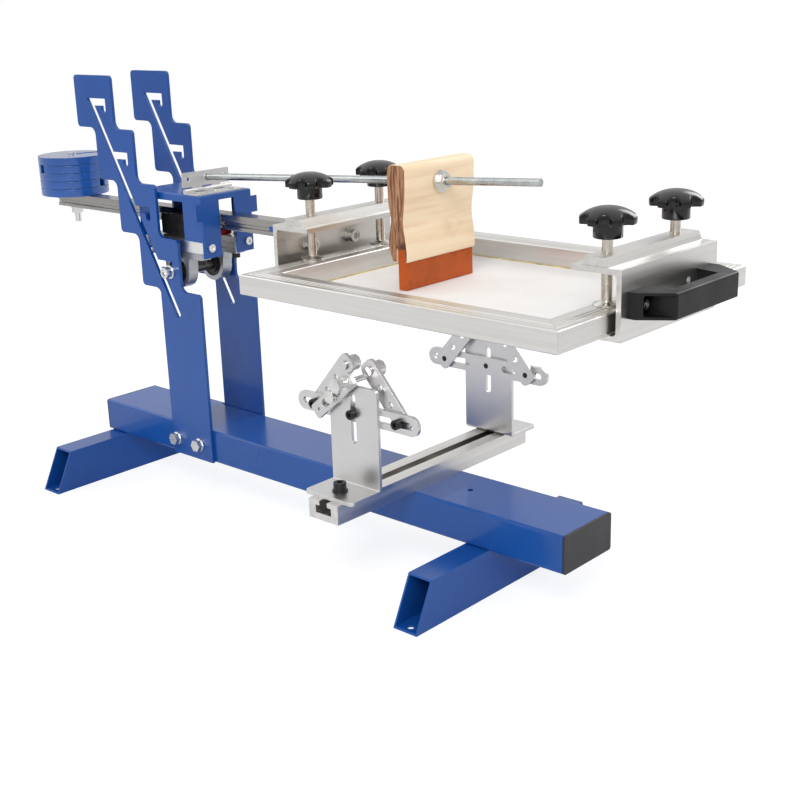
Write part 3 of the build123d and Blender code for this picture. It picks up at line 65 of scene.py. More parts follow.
def mathNode(tree, operation, *values):
    node = tree.nodes.new("ShaderNodeMath")
    node.operation = operation
    for socket, value in zip(node.inputs, values):
        feed(tree, socket, value)
    return node.outputs[0]


def ramp(tree, field, low, high, lowValue, highValue):
    spread = tree.nodes.new("ShaderNodeMapRange")
    spread.inputs["From Min"].default_value = low
    spread.inputs["From Max"].default_value = high
    spread.inputs["To Min"].default_value = lowValue
    spread.inputs["To Max"].default_value = highValue
    feed(tree, spread.inputs["Value"], field)
    return spread.outputs[0]


def mixShaders(tree, share, first, second):
    mixed = tree.nodes.new("ShaderNodeMixShader")
    for socket, value in zip(mixed.inputs, (share, first, second)):
        tree.links.new(value, socket)
    return mixed.outputs[0]


cameraSettings = {
    "place": (1.049593, -0.968349, 0.585742),   # metres
    "azimuth": 42.4854,   # degrees, looking from the near right corner
    "elevation": 17.6555,
    "roll": -1.7748,
    "sensor": 36,         # mm
    "lens": 58.108,
    "shiftY": 0.0024,
}


def addCamera(settings):
    azimuth = math.radians(settings["azimuth"])
    elevation = math.radians(settings["elevation"])
    roll = math.radians(settings["roll"])
    forward = Vector((-math.sin(azimuth) * math.cos(elevation), math.cos(azimuth) * math.cos(elevation),
                      -math.sin(elevation)))
    right = forward.cross(Vector((0, 0, 1))).normalized()
    up = right.cross(forward)
    side = right * math.cos(roll) + up * math.sin(roll)
    top = up * math.cos(roll) - right * math.sin(roll)
    data = bpy.data.cameras.new("pressCamera")
    data.sensor_width = settings["sensor"]
    data.lens = settings["lens"]
    data.shift_y = settings["shiftY"]
    camera = newObject("pressCamera", data)
    axes = Matrix((side, top, -forward)).transposed().to_4x4()
    camera.matrix_world = Matrix.Translation(settings["place"]) @ axes
    scene.camera = camera


stageSettings = {
    "floorHalf": 6.0,        # metres
    "floorTint": (0.86, 0.86, 0.87),
    "floorGlow": 0.58,       # share of plain white in what the camera sees
    "glowStrength": 1.30,
    "fillStrength": 0.66,    # what lights matt surfaces
    "mirrorLow": 0.56,       # what shiny surfaces mirror, level with the press
    "mirrorHigh": 1.12,      # and above it
    "mirrorRise": 0.7,       # upward part of the direction where it is brightest
    "lamps": (               # name, place, aim, width, watts
        ("windowLamp", (1.5, -2.3, 2.5), (0.05, 0.0, 0.25), 1.3, 52),
        ("leftLamp", (-2.4, -1.0, 1.5), (0.0, 0.0, 0.3), 1.6, 10),
        ("backLamp", (0.4, 2.5, 1.6), (0.0, 0.0, 0.3), 1.6, 26),
    ),
}
white = (1, 1, 1)


def addFloor(settings):
    half = settings["floorHalf"]
    mesh = bpy.data.meshes.new("floor")
    mesh.from_pydata([(-half, -half, 0), (half, -half, 0), (half, half, 0), (-half, half, 0)],
                     [], [(0, 1, 2, 3)])
    floor = newObject("floor", mesh)
    material = bpy.data.materials.new("paleFloor")
    material.use_nodes = True
    tree = material.node_tree
    tree.nodes.clear()
    diffuse = tree.nodes.new("ShaderNodeBsdfDiffuse")
    feed(tree, diffuse.inputs["Color"], settings["floorTint"])
    glow = tree.nodes.new("ShaderNodeEmission")
    feed(tree, glow.inputs["Color"], white)
    feed(tree, glow.inputs["Strength"], settings["glowStrength"])
    path = tree.nodes.new("ShaderNodeLightPath")
    share = mathNode(tree, "MULTIPLY", path.outputs["Is Camera Ray"], settings["floorGlow"])
    whole = mixShaders(tree, share, diffuse.outputs[0], glow.outputs[0])
    output = tree.nodes.new("ShaderNodeOutputMaterial")
    tree.links.new(whole, output.inputs["Surface"])
    mesh.materials.append(material)


def background(tree, strength):
    glow = tree.nodes.new("ShaderNodeBackground")
    feed(tree, glow.inputs["Color"], white)
    feed(tree, glow.inputs["Strength"], strength)
    return glow.outputs[0]


def addWorld(settings):
    world = bpy.data.worlds.new("studio")
    scene.world = world
    world.use_nodes = True
    tree = world.node_tree
    tree.nodes.clear()
    direction = tree.nodes.new("ShaderNodeTexCoord")
    height = tree.nodes.new("ShaderNodeSeparateXYZ")
    tree.links.new(direction.outputs["Generated"], height.inputs[0])
    rising = ramp(tree, height.outputs["Z"], 0, settings["mirrorRise"],
                  settings["mirrorLow"], settings["mirrorHigh"])
    path = tree.nodes.new("ShaderNodeLightPath").outputs
    shine = mixShaders(tree, path["Is Glossy Ray"], background(tree, settings["fillStrength"]),
                       background(tree, rising))
    seen = mathNode(tree, "MAXIMUM", path["Is Camera Ray"], path["Is Transmission Ray"])
    whole = mixShaders(tree, seen, shine, background(tree, 1))
    output = tree.nodes.new("ShaderNodeOutputWorld")
    tree.links.new(whole, output.inputs["Surface"])


def addLamps(settings):
    for name, place, aim, width, watts in settings["lamps"]:
        lamp = bpy.data.lights.new(name, "AREA")
        lamp.size = width
        lamp.energy = watts
        holder = newObject(name, lamp)
        holder.location = place
        holder.rotation_euler = (Vector(aim) - Vector(place)).to_track_quat("-Z", "Y").to_euler()


addCamera(cameraSettings)
addFloor(stageSettings)
addWorld(stageSettings)
addLamps(stageSettings)
print("camera and stage ready")


def blankMaterial(name, color, metallic, roughness):
    material = bpy.data.materials.new(name)
    material.use_nodes = True
    tree = material.node_tree
    shader = tree.nodes["Principled BSDF"]
    feed(tree, shader.inputs["Base Color"], color)
    shader.inputs["Metallic"].default_value = metallic
    shader.inputs["Roughness"].default_value = roughness
    place = tree.nodes.new("ShaderNodeTexCoord")
    return material, tree, shader, place


def noiseField(tree, place, scale, stretch=(1, 1, 1), detail=2.0, distortion=0.0):
    mapping = tree.nodes.new("ShaderNodeMapping")
    mapping.inputs["Scale"].default_value = stretch
    tree.links.new(place.outputs["Object"], mapping.inputs["Vector"])
    noise = tree.nodes.new("ShaderNodeTexNoise")
    noise.inputs["Scale"].default_value = scale
    noise.inputs["Detail"].default_value = detail
    noise.inputs["Distortion"].default_value = distortion
    tree.links.new(mapping.outputs[0], noise.inputs["Vector"])
    return noise.outputs["Fac"]


def blendColors(tree, share, first, second):
    mixed = tree.nodes.new("ShaderNodeMix")
    mixed.data_type = "RGBA"
    tree.links.new(share, mixed.inputs[0])
    feed(tree, mixed.inputs[6], first)    # the colour sockets A and B
    feed(tree, mixed.inputs[7], second)
    return mixed.outputs[2]


def addBump(tree, shader, field, height):
    bump = tree.nodes.new("ShaderNodeBump")
    bump.inputs["Distance"].default_value = height
    tree.links.new(field, bump.inputs["Height"])
    tree.links.new(bump.outputs[0], shader.inputs["Normal"])


speckleSettings = {
    "toneSpan": (0.35, 0.65),    # part of the slow noise that goes from the darker to the lighter tone
    "roughSpan": (0.3, 0.7),
    "toneDetail": 3,
    "coatRough": 0.14,
}


# One finish with slow tone changes and a fine surface grain.
def speckled(name, color, rough, metal=0.0, tone=0.12, toneScale=30, roughSpread=0.08,
             grain=500, grainHeight=0.00002, stretch=(1, 1, 1), coat=0.0, mirror=0.5):
    material, tree, shader, place = blankMaterial(name, color, metal, rough)
    slow = noiseField(tree, place, toneScale, stretch, detail=speckleSettings["toneDetail"])
    fine = noiseField(tree, place, grain, stretch)
    darker = [c * (1 - tone) for c in color]
    lighter = [min(1, c * (1 + tone)) for c in color]
    share = ramp(tree, slow, *speckleSettings["toneSpan"], 0, 1)
    feed(tree, shader.inputs["Base Color"], blendColors(tree, share, darker, lighter))
    feed(tree, shader.inputs["Roughness"],
         ramp(tree, slow, *speckleSettings["roughSpan"], rough - roughSpread, rough + roughSpread))
    addBump(tree, shader, fine, grainHeight)
    shader.inputs["Specular IOR Level"].default_value = mirror
    if coat:
        shader.inputs["Coat Weight"].default_value = coat
        shader.inputs["Coat Roughness"].default_value = speckleSettings["coatRough"]
    return material


# Brushed lines run along one axis, where the pattern is drawn out fifty times.
alongX = (0.02, 1, 1)
alongY = (1, 0.02, 1)
brushed = {"metal": 1.0, "tone": 0.07, "toneScale": 160, "roughSpread": 0.07,
           "grain": 2600, "grainHeight": 0.000012}
extruded = {**brushed, "color": (0.72, 0.705, 0.68), "rough": 0.32}

finishSettings = {  # scales are per metre, grain heights in metres
    "bluePaint": {"color": (0.006, 0.070, 0.31), "rough": 0.30, "tone": 0.06, "toneScale": 9,
                  "roughSpread": 0.05, "grain": 620, "grainHeight": 0.00005, "coat": 0.5, "mirror": 0.22},
    "weightPaint": {"color": (0.008, 0.080, 0.34), "rough": 0.3, "tone": 0.10, "toneScale": 22,
                    "grain": 700, "coat": 1.0, "mirror": 0.3},
    "aluminiumX": {**extruded, "stretch": alongX},
    "aluminiumY": {**extruded, "stretch": alongY},
    "milledAluminium": {**brushed, "color": (0.84, 0.83, 0.81), "rough": 0.30, "stretch": alongX},
    "zincPlate": {"color": (0.68, 0.67, 0.665), "rough": 0.33, "metal": 1.0, "tone": 0.03,
                  "toneScale": 18, "roughSpread": 0.03, "grain": 900},
    "zincBolt": {"color": (0.74, 0.74, 0.72), "rough": 0.26, "metal": 1.0, "tone": 0.08, "toneScale": 120},
    "nickelThread": {"color": (0.58, 0.53, 0.47), "rough": 0.24, "metal": 1.0, "toneScale": 150},
    "rodZinc": {"color": (0.55, 0.58, 0.58), "rough": 0.30, "metal": 1.0, "tone": 0.15, "toneScale": 90},
    "groundSteel": {"color": (0.36, 0.345, 0.33), "rough": 0.22, "metal": 1.0, "tone": 0.05,
                    "toneScale": 200, "grain": 1800, "grainHeight": 0.000008, "stretch": alongX},
    "polishedSteel": {"color": (0.66, 0.65, 0.64), "rough": 0.16, "metal": 1.0, "tone": 0.05},
    "blackOxide": {"color": (0.012, 0.012, 0.013), "rough": 0.36, "metal": 0.3, "tone": 0.2,
                   "toneScale": 90},
    "castGrey": {"color": (0.47, 0.48, 0.50), "rough": 0.34, "metal": 0.75, "tone": 0.06,
                 "toneScale": 60, "grain": 420, "grainHeight": 0.00012},
    "blackSeal": {"color": (0.02, 0.02, 0.021), "rough": 0.42},
    "redSeal": {"color": (0.42, 0.03, 0.03), "rough": 0.34, "grain": 900},
    "knobBlack": {"color": (0.003, 0.003, 0.004), "rough": 0.17, "tone": 0.15, "toneScale": 60,
                  "grain": 800, "grainHeight": 0.00001, "mirror": 0.45},
    "handleBlack": {"color": (0.008, 0.008, 0.009), "rough": 0.42, "tone": 0.1, "toneScale": 40,
                    "grain": 1500, "grainHeight": 0.00004, "mirror": 0.25},
    "capBlack": {"color": (0.022, 0.022, 0.025), "rough": 0.5, "grain": 1100, "grainHeight": 0.00005},
    "glueLine": {"color": (0.62, 0.50, 0.20), "rough": 0.4, "tone": 0.25, "toneScale": 90},
    "darkShaft": {"color": (0.13, 0.12, 0.11), "rough": 0.3, "metal": 0.9, "tone": 0.1, "toneScale": 80},
    "polyurethane": {"color": (0.47, 0.085, 0.010), "rough": 0.30, "tone": 0.10, "toneScale": 40,
                     "mirror": 0.25},
}

woodSettings = {
    "rough": 0.46,
    "mirror": 0.3,
    "pale": (0.98, 0.79, 0.56),
    "line": (0.86, 0.60, 0.37),
    "smudge": (0.62, 0.43, 0.27),
    "endPale": (0.44, 0.23, 0.125),
    "endDark": (0.15, 0.055, 0.025),
    "lines": {"scale": 150, "stretch": (1, 0.05, 0.9), "detail": 4, "distortion": 0.5},
    "lineSpan": (0.46, 0.72, 0, 0.75),      # from and to in the noise, share of colour at each
    "stain": {"scale": 34, "stretch": (1, 0.5, 1.2), "detail": 4, "distortion": 0.8},
    "stainSpan": (0.58, 0.78, 0, 0.55),
    "bands": {"scale": 330, "stretch": (1, 0.1, 0.10), "detail": 3, "distortion": 1.1},
    "bandSpan": (0.40, 0.60, 0, 1),
    "pores": {"scale": 1100, "stretch": (1, 0.06, 0.7), "detail": 2},
    "poreHeight": 0.00006,
    "endSpan": (0.55, 0.9, 0, 1),           # how squarely a face looks along y to show end grain
    "knot": (0.10, 0.035, 0.02),
    "knotPlace": (0.222, -0.0525, 0.347),
    "knotRadius": 0.0085,
    "knotCore": 0.5,                        # share of the radius that is fully dark
}


# Long lines on the faces, wavy bands and one knot on the end grain.
def beechWood(wood):
    material, tree, shader, place = blankMaterial("beechWood", wood["pale"], 0.0, wood["rough"])
    shader.inputs["Specular IOR Level"].default_value = wood["mirror"]
    lines = ramp(tree, noiseField(tree, place, **wood["lines"]), *wood["lineSpan"])
    stain = ramp(tree, noiseField(tree, place, **wood["stain"]), *wood["stainSpan"])
    face = blendColors(tree, lines, wood["pale"], wood["line"])
    face = blendColors(tree, stain, face, wood["smudge"])
    bands = ramp(tree, noiseField(tree, place, **wood["bands"]), *wood["bandSpan"])
    end = blendColors(tree, bands, wood["endPale"], wood["endDark"])
    reach = tree.nodes.new("ShaderNodeVectorMath")
    reach.operation = "DISTANCE"
    reach.inputs[1].default_value = wood["knotPlace"]
    tree.links.new(place.outputs["Object"], reach.inputs[0])
    radius = wood["knotRadius"]
    core = ramp(tree, reach.outputs["Value"], radius * wood["knotCore"], radius, 1, 0)
    end = blendColors(tree, core, end, wood["knot"])
    split = tree.nodes.new("ShaderNodeSeparateXYZ")
    tree.links.new(place.outputs["Normal"], split.inputs[0])
    share = ramp(tree, mathNode(tree, "ABSOLUTE", split.outputs["Y"]), *wood["endSpan"])
    feed(tree, shader.inputs["Base Color"], blendColors(tree, share, face, end))
    addBump(tree, shader, noiseField(tree, place, **wood["pores"]), wood["poreHeight"])
    return material


weaveSettings = {
    "color": (0.86, 0.84, 0.83),
    "rough": 0.6,
    "dark": (0.84, 0.82, 0.81),
    "light": (0.90, 0.89, 0.88),
    "cloud": {"scale": 14, "detail": 3},
    "cloudSpan": (0.35, 0.7, 0, 1),
    "threadScale": 450,
    "threadHeight": 0.00006,
}


# A cloudy pale cloth with fine threads both ways.
def meshWeave(weave):
    material, tree, shader, place = blankMaterial("meshWeave", weave["color"], 0.0, weave["rough"])
    cloud = ramp(tree, noiseField(tree, place, **weave["cloud"]), *weave["cloudSpan"])
    feed(tree, shader.inputs["Base Color"], blendColors(tree, cloud, weave["dark"], weave["light"]))
    threads = []
    for axis in ("X", "Y"):
        wave = tree.nodes.new("ShaderNodeTexWave")
        wave.bands_direction = axis
        wave.inputs["Scale"].default_value = weave["threadScale"]
        tree.links.new(place.outputs["Object"], wave.inputs["Vector"])
        threads.append(wave.outputs["Fac"])
    addBump(tree, shader, mathNode(tree, "MAXIMUM", *threads), weave["threadHeight"])
    return material


finishes = {name: speckled(name, **settings) for name, settings in finishSettings.items()}
finishes["beechWood"] = beechWood(woodSettings)
finishes["meshWeave"] = meshWeave(weaveSettings)
print("finishes ready:", len(finishes))


edgeSettings = {
    "weldGap": 0.002,      # mm between corners that are one
    "flatAngle": 0.6,      # degrees between triangles that are one face
    "bevelAngle": 38,      # degrees, sharper edges are rounded
    "bevelSteps": 2,
    "sharpAngle": 40,      # degrees, sharper edges are shaded sharp
    "faceWeight": 80,
}


# base_beam becomes baseBeam
def camelName(words):
    first, *rest = words.split("_")
    return first + "".join(word.capitalize() for word in rest)


# Puts the evaluated mesh in place of the piece's own and takes the modifiers off.
def settled(piece):
    bpy.context.view_layer.update()
    graph = bpy.context.evaluated_depsgraph_get()
    mesh = bpy.data.meshes.new_from_object(piece.evaluated_get(graph), depsgraph=graph)
    mesh.name = piece.name
    piece.modifiers.clear()
    piece.data = mesh


def shadeSmooth(piece, sharpAngle):
    piece.data.shade_smooth()
    piece.data.set_sharp_from_angle(angle=math.radians(sharpAngle))


# Rounds sharp edges by width (mm) and shades the rest smoothly.
def softenEdges(piece, width):
    if width:
        bevel = piece.modifiers.new("edge", "BEVEL")
        bevel.width = width * mm
        bevel.segments = edgeSettings["bevelSteps"]
        bevel.limit_method = "ANGLE"
        bevel.angle_limit = math.radians(edgeSettings["bevelAngle"])
        settled(piece)
    shadeSmooth(piece, edgeSettings["sharpAngle"])
    weighted = piece.modifiers.new("shade", "WEIGHTED_NORMAL")
    weighted.keep_sharp = True
    weighted.weight = edgeSettings["faceWeight"]
    settled(piece)


def objectFrom(name, work):
    mesh = bpy.data.meshes.new(name)
    work.to_mesh(mesh)
    work.free()
    return newObject(name, mesh)


def outwardObject(name, work):
    bmesh.ops.recalc_face_normals(work, faces=work.faces)
    return objectFrom(name, work)


# The CAD node's mesh with its loose triangles joined into faces.
def cleanCopy(node):
    work = bmesh.new()
    work.from_mesh(frame["nodes"][node].data)
    bmesh.ops.remove_doubles(work, verts=work.verts, dist=edgeSettings["weldGap"] * mm)
    bmesh.ops.dissolve_limit(work, angle_limit=math.radians(edgeSettings["flatAngle"]),
                             verts=work.verts, edges=work.edges)
    return objectFrom(camelName(node), work)


# Gives a piece its finish and its body, and hides the CAD node that it stands for.
def finished(piece, node, finish):
    piece.data.materials.clear()
    piece.data.materials.append(finishes[finish])
    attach(piece, bodyOf[node])
    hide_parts(node)


# Gives a piece that replaces no node its finish and its body.
def added(piece, finish, bodyNode):
    piece.data.materials.clear()
    piece.data.materials.append(finishes[finish])
    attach(piece, bodyOf[bodyNode])


dressing = {  # the plates, bars and castings that keep the CAD shape: finish, edge radius in mm
    "base_beam": ("bluePaint", 1.2),
    "feet": ("bluePaint", 0.9),
    "end_caps": ("capBlack", 0.5),
    "post_near": ("bluePaint", 0.45),
    "post_far": ("bluePaint", 0.45),
    "base_bolts": ("zincBolt", 0.25),
    "pivot_shaft": ("darkShaft", 0.3),
    "shaft_screws": ("zincBolt", 0.3),
    "t_rail": ("aluminiumY", 0.5),
    "pillow_blocks": ("castGrey", 0.9),
    "bearing_inserts": ("blackSeal", 0.4),
    "spacer_blocks": ("milledAluminium", 0.5),
    "block_screws": ("blackOxide", 0.3),
    "guide_carriage": ("darkShaft", 0.5),
    "carriage_end_caps": ("blackSeal", 0.5),
    "head_bracket": ("bluePaint", 0.5),
    "bracket_screws": ("zincBolt", 0.3),
    "hinge_lower_leaf": ("zincPlate", 0.2),
    "guide_rail": ("groundSteel", 0.3),
    "counterweights": ("weightPaint", 0.7),
    "weight_bolt": ("zincBolt", 0.3),
    "rear_channel": ("aluminiumY", 0.5),
    "front_channel": ("aluminiumY", 0.5),
    "rail_angle": ("bluePaint", 0.5),
    "channel_screws": ("zincBolt", 0.25),
    "clamp_bars": ("aluminiumY", 0.35),
    "pull_handle": ("handleBlack", 1.1),
    "hinge_upper_leaf": ("zincPlate", 0.2),
    "squeegee_handle": ("beechWood", 1.2),
    "squeegee_blade": ("polyurethane", 0.5),
    "squeegee_nuts": ("zincBolt", 0.3),
    "stop_bar": ("zincPlate", 0.5),
    "stop_bolt": ("zincBolt", 0.3),
}
for side in ("near", "far"):
    dressing["l_bracket_" + side] = ("zincPlate", 0.4)
    dressing["bracket_fasteners_" + side] = ("blackOxide", 0.4)
    dressing["crossbar_" + side] = ("zincPlate", 0.4)
    dressing["crossbar_screws_" + side] = ("blackOxide", 0.4)
    for end in ("left", "right"):
        dressing[f"cradle_arm_{side}_{end}"] = ("zincPlate", 0.5)
        dressing[f"roller_{side}_{end}"] = ("polishedSteel", 0.4)

for node, (finish, edge) in dressing.items():
    piece = cleanCopy(node)
    softenEdges(piece, edge)
    finished(piece, node, finish)
print("pieces dressed:", len(dressing))


# Faces between two closed rings of vertices.
def skin(work, lower, upper):
    count = len(lower)
    for k in range(count):
        after = (k + 1) % count
        work.faces.new((lower[k], lower[after], upper[after], upper[k]))


# A ring about a vertical line through middle: reaches in mm, heights in metres.
def ringOf(work, middle, angles, reaches, heights):
    return [work.verts.new((middle.x + reach * mm * math.cos(angle),
                            middle.y + reach * mm * math.sin(angle), height))
            for angle, reach, height in zip(angles, reaches, heights)]


threadSettings = {"sides": 20, "stepsPerPitch": 2, "sharpAngle": 75}


# A round bar along a straight line, turned down at every second ring, which leaves V grooves.
def threadTree(settings):
    tree = bpy.data.node_groups.new("threadedBar", "GeometryNodeTree")
    link = tree.links.new
    inputs = {}
    for name, kind in (("start", "Vector"), ("end", "Vector"), ("radius", "Float"), ("depth", "Float"),
                       ("pitch", "Float"), ("sides", "Int"), ("finish", "Material")):
        socket = tree.interface.new_socket(name, in_out="INPUT", socket_type="NodeSocket" + kind)
        inputs[name] = socket.identifier
    tree.interface.new_socket("Geometry", in_out="OUTPUT", socket_type="NodeSocketGeometry")
    given = tree.nodes.new("NodeGroupInput").outputs
    line = tree.nodes.new("GeometryNodeCurvePrimitiveLine")
    link(given["start"], line.inputs["Start"])
    link(given["end"], line.inputs["End"])
    steps = tree.nodes.new("GeometryNodeResampleCurve")
    steps.mode = "LENGTH"
    link(line.outputs[0], steps.inputs["Curve"])
    link(mathNode(tree, "MULTIPLY", given["pitch"], 1 / settings["stepsPerPitch"]), steps.inputs["Length"])
    index = tree.nodes.new("GeometryNodeInputIndex")
    odd = mathNode(tree, "MODULO", index.outputs[0], settings["stepsPerPitch"])
    cut = mathNode(tree, "MULTIPLY", odd, given["depth"])
    size = mathNode(tree, "SUBTRACT", given["radius"], cut)
    ring = tree.nodes.new("GeometryNodeCurvePrimitiveCircle")
    ring.inputs["Radius"].default_value = 1.0
    link(given["sides"], ring.inputs["Resolution"])
    bar = tree.nodes.new("GeometryNodeCurveToMesh")
    bar.inputs["Fill Caps"].default_value = True
    link(steps.outputs[0], bar.inputs["Curve"])
    link(ring.outputs[0], bar.inputs["Profile Curve"])
    link(size, bar.inputs["Scale"])
    real = tree.nodes.new("GeometryNodeRealizeInstances")
    link(bar.outputs[0], real.inputs[0])
    paint = tree.nodes.new("GeometryNodeSetMaterial")
    link(real.outputs[0], paint.inputs["Geometry"])
    link(given["finish"], paint.inputs["Material"])
    sink = tree.nodes.new("NodeGroupOutput")
    link(paint.outputs[0], sink.inputs[0])
    return tree, inputs


threadGroup, threadInputs = threadTree(threadSettings)


def threadedBar(name, node, start, end, settings, finish):
    bar = newObject(name, bpy.data.meshes.new(name))
    modifier = bar.modifiers.new("thread", "NODES")
    modifier.node_group = threadGroup
    values = {"start": start, "end": end, "sides": threadSettings["sides"], "finish": finishes[finish]}
    for key in ("radius", "depth", "pitch"):
        values[key] = settings[key] * mm
    for key, value in values.items():
        modifier[threadInputs[key]] = value
    settled(bar)
    shadeSmooth(bar, threadSettings["sharpAngle"])
    finished(bar, node, finish)


# Lowest and highest corner of a CAD node, in metres.
def nodeSpan(node):
    points = [vertex.co for vertex in frame["nodes"][node].data.vertices]
    low = Vector([min(point[axis] for point in points) for axis in range(3)])
    high = Vector([max(point[axis] for point in points) for axis in range(3)])
    return low, high


studSettings = {  # mm
    "radius": 5.0,
    "depth": 0.45,
    "pitch": 1.5,
    "foot": 1.0,             # the thread starts this far up inside the pad
    "padRim": ((0.6, 0.0), (0.0, 0.4), (0.0, 1.2), (0.8, 1.8)),   # inset from the pad's side, height
    "padNeck": ((8.5, 2.0), (7.0, 3.2), (5.0, 3.9)),              # radius, height
    "padSides": 48,
    "padSharp": 50,          # degrees
}


# The pressed pad, turned from its profile, and the threaded stud on it.
def clampStud(place, settings):
    node = "clamp_stud_" + place
    low, high = nodeSpan(node)
    middle = (low + high) / 2
    padRadius = (high.x - low.x) / 2 / mm
    sides = settings["padSides"]
    turnStep = 2 * math.pi / sides
    angles = [k * turnStep for k in range(sides)]
    profile = [(padRadius - inset, height) for inset, height in settings["padRim"]]
    profile += settings["padNeck"]
    work = bmesh.new()
    rings = [ringOf(work, middle, angles, [radius] * sides, [low.z + height * mm] * sides)
             for radius, height in profile]
    for lower, upper in zip(rings, rings[1:]):
        skin(work, lower, upper)
    work.faces.new(rings[0][::-1])
    work.faces.new(rings[-1])
    pad = outwardObject(camelName("clamp_pad_" + place), work)
    shadeSmooth(pad, settings["padSharp"])
    finished(pad, node, "zincBolt")
    start = Vector((middle.x, middle.y, low.z + settings["foot"] * mm))
    end = Vector((middle.x, middle.y, high.z))
    threadedBar(camelName(node), node, start, end, settings, "nickelThread")


knobSettings = {  # mm
    "lobes": 7,
    "turn": 12.0,            # degrees
    "radius": 24.5,
    "gapRadius": 7.0,        # round gaps between the lobes
    "gapOffset": 2.0,        # from the knob's radius out to their middles
    "hubRadius": 12.8,
    "hubHeight": 12.2,
    "hubEdge": 0.6,
    "neckRise": 0.1,         # small step where the hub meets the head
    "neckOut": 0.2,
    "boreGap": 0.15,
    "boreDepth": 17,
    "dome": 8.2,
    "domePower": 2.3,        # higher is flatter in the middle
    "edge": 1.0,
    "edgeIn": 0.3,           # shares of the edge that shape its rounding
    "edgeDown": 0.25,
    "around": 210,
    "rings": 14,
    "sharpAngle": 58,        # degrees
}


# Distance from the knob's axis to its side, in mm.
def lobeReach(angle, settings):
    gapAngle = 2 * math.pi / settings["lobes"]
    turned = (angle - math.radians(settings["turn"])) % gapAngle
    off = turned - gapAngle / 2
    reach = settings["radius"]
    gapMiddle = settings["radius"] + settings["gapOffset"]
    under = settings["gapRadius"] ** 2 - (gapMiddle * math.sin(off)) ** 2
    if under > 0:
        reach = min(reach, gapMiddle * math.cos(off) - math.sqrt(under))
    return reach


# A moulded knob: round hub, scalloped head and one smooth dome over it.
def starKnob(place, settings):
    node = "clamp_knob_" + place
    low, high = nodeSpan(node)
    middle = (low + high) / 2
    around = settings["around"]
    edge = settings["edge"]
    inward = settings["edgeIn"] * edge
    hub = settings["hubRadius"]
    hubEdge = settings["hubEdge"]
    bore = studSettings["radius"] + settings["boreGap"]
    headBottom = low.z + settings["hubHeight"] * mm

    def domeHeight(reach):
        return high.z - settings["dome"] * mm * (reach / settings["radius"]) ** settings["domePower"]

    angles = [k * 2 * math.pi / around for k in range(around)]
    sides = [lobeReach(angle, settings) for angle in angles]
    rounds = (
        (bore, low.z + settings["boreDepth"] * mm),
        (bore, low.z),
        (hub - hubEdge, low.z),
        (hub, low.z + hubEdge * mm),
        (hub, headBottom - settings["neckRise"] * mm),
        (hub + settings["neckOut"], headBottom),
    )
    outlines = [([reach] * around, [height] * around) for reach, height in rounds]
    outlines += [
        ([side - edge for side in sides], [headBottom] * around),
        ([side - inward for side in sides], [headBottom + inward * mm] * around),
        (sides, [headBottom + edge * mm] * around),
        (sides, [domeHeight(side) - edge * mm for side in sides]),
        ([side - inward for side in sides],
         [domeHeight(side) - settings["edgeDown"] * edge * mm for side in sides]),
    ]
    for k in range(settings["rings"]):
        reaches = [(side - edge) * (1 - k / settings["rings"]) for side in sides]
        outlines.append((reaches, [domeHeight(reach) for reach in reaches]))
    work = bmesh.new()
    rings = [ringOf(work, middle, angles, reaches, heights) for reaches, heights in outlines]
    for lower, upper in zip(rings, rings[1:]):
        skin(work, lower, upper)
    work.faces.new(rings[0])
    work.faces.new(rings[-1])
    knob = outwardObject(camelName("star_knob_" + place), work)
    shadeSmooth(knob, settings["sharpAngle"])
    finished(knob, node, "knobBlack")


for place in ("rear_near", "rear_far", "front_near", "front_far"):
    clampStud(place, studSettings)
    starKnob(place, knobSettings)
print("clamps ready")


rodSettings = {  # mm
    "radius": 3.9,
    "depth": 0.4,
    "pitch": 1.25,
    "rise": 3.28,            # degrees
    "reach": 474.0,          # from the hinge pin's line to the free end
    "tail": 11.5,            # beyond the pin's line
    "short": 0.4,            # the thread stops this far before the CAD rod's end
}


# The rod rises a little towards its free end.
def squeegeeRod(settings):
    low, high = nodeSpan("threaded_rod")
    rise = math.radians(settings["rise"])
    direction = Vector((math.cos(rise), 0, math.sin(rise)))
    across = Vector((-math.sin(rise), 0, math.cos(rise)))
    radius = settings["radius"] * mm
    end = Vector((high.x, (low.y + high.y) / 2, high.z)) - across * radius
    start = end - direction * ((settings["reach"] + settings["tail"]) * mm)
    threadedBar("threadedRod", "threaded_rod", start, end - direction * settings["short"] * mm,
                settings, "rodZinc")


squeegeeRod(rodSettings)
print("rod ready")


frameSettings = {  # mm
    "barWidth": 30.0,
    "height": 20.0,
    "edge": 0.8,
    "grooves": (7.0, 11.5, 16.0),    # their middles, from the outer side
    "grooveDepth": 0.5,
    "grooveHalf": 0.7,
    "grooveFloor": 0.4,              # share of the half width that is flat
    "seam": 0.07,                    # each bar stands back this far at its mitres
    "bars": (("frameBarNear", "aluminiumX"), ("frameBarFront", "aluminiumY"),
             ("frameBarFar", "aluminiumX"), ("frameBarRear", "aluminiumY")),
}


# (inset from the outer edge, height) pairs in mm round one bar
def frameProfile(settings):
    width, height, edge = settings["barWidth"], settings["height"], settings["edge"]
    half, depth = settings["grooveHalf"], settings["grooveDepth"]
    floor = half * settings["grooveFloor"]
    profile = [(edge, 0.0), (0.0, edge), (0.0, height - edge), (edge, height)]
    for groove in settings["grooves"]:
        profile += [(groove - half, height), (groove - floor, height - depth),
                    (groove + floor, height - depth), (groove + half, height)]
    profile += [(width - edge, height), (width, height - edge), (width, edge), (width - edge, 0.0)]
    return profile


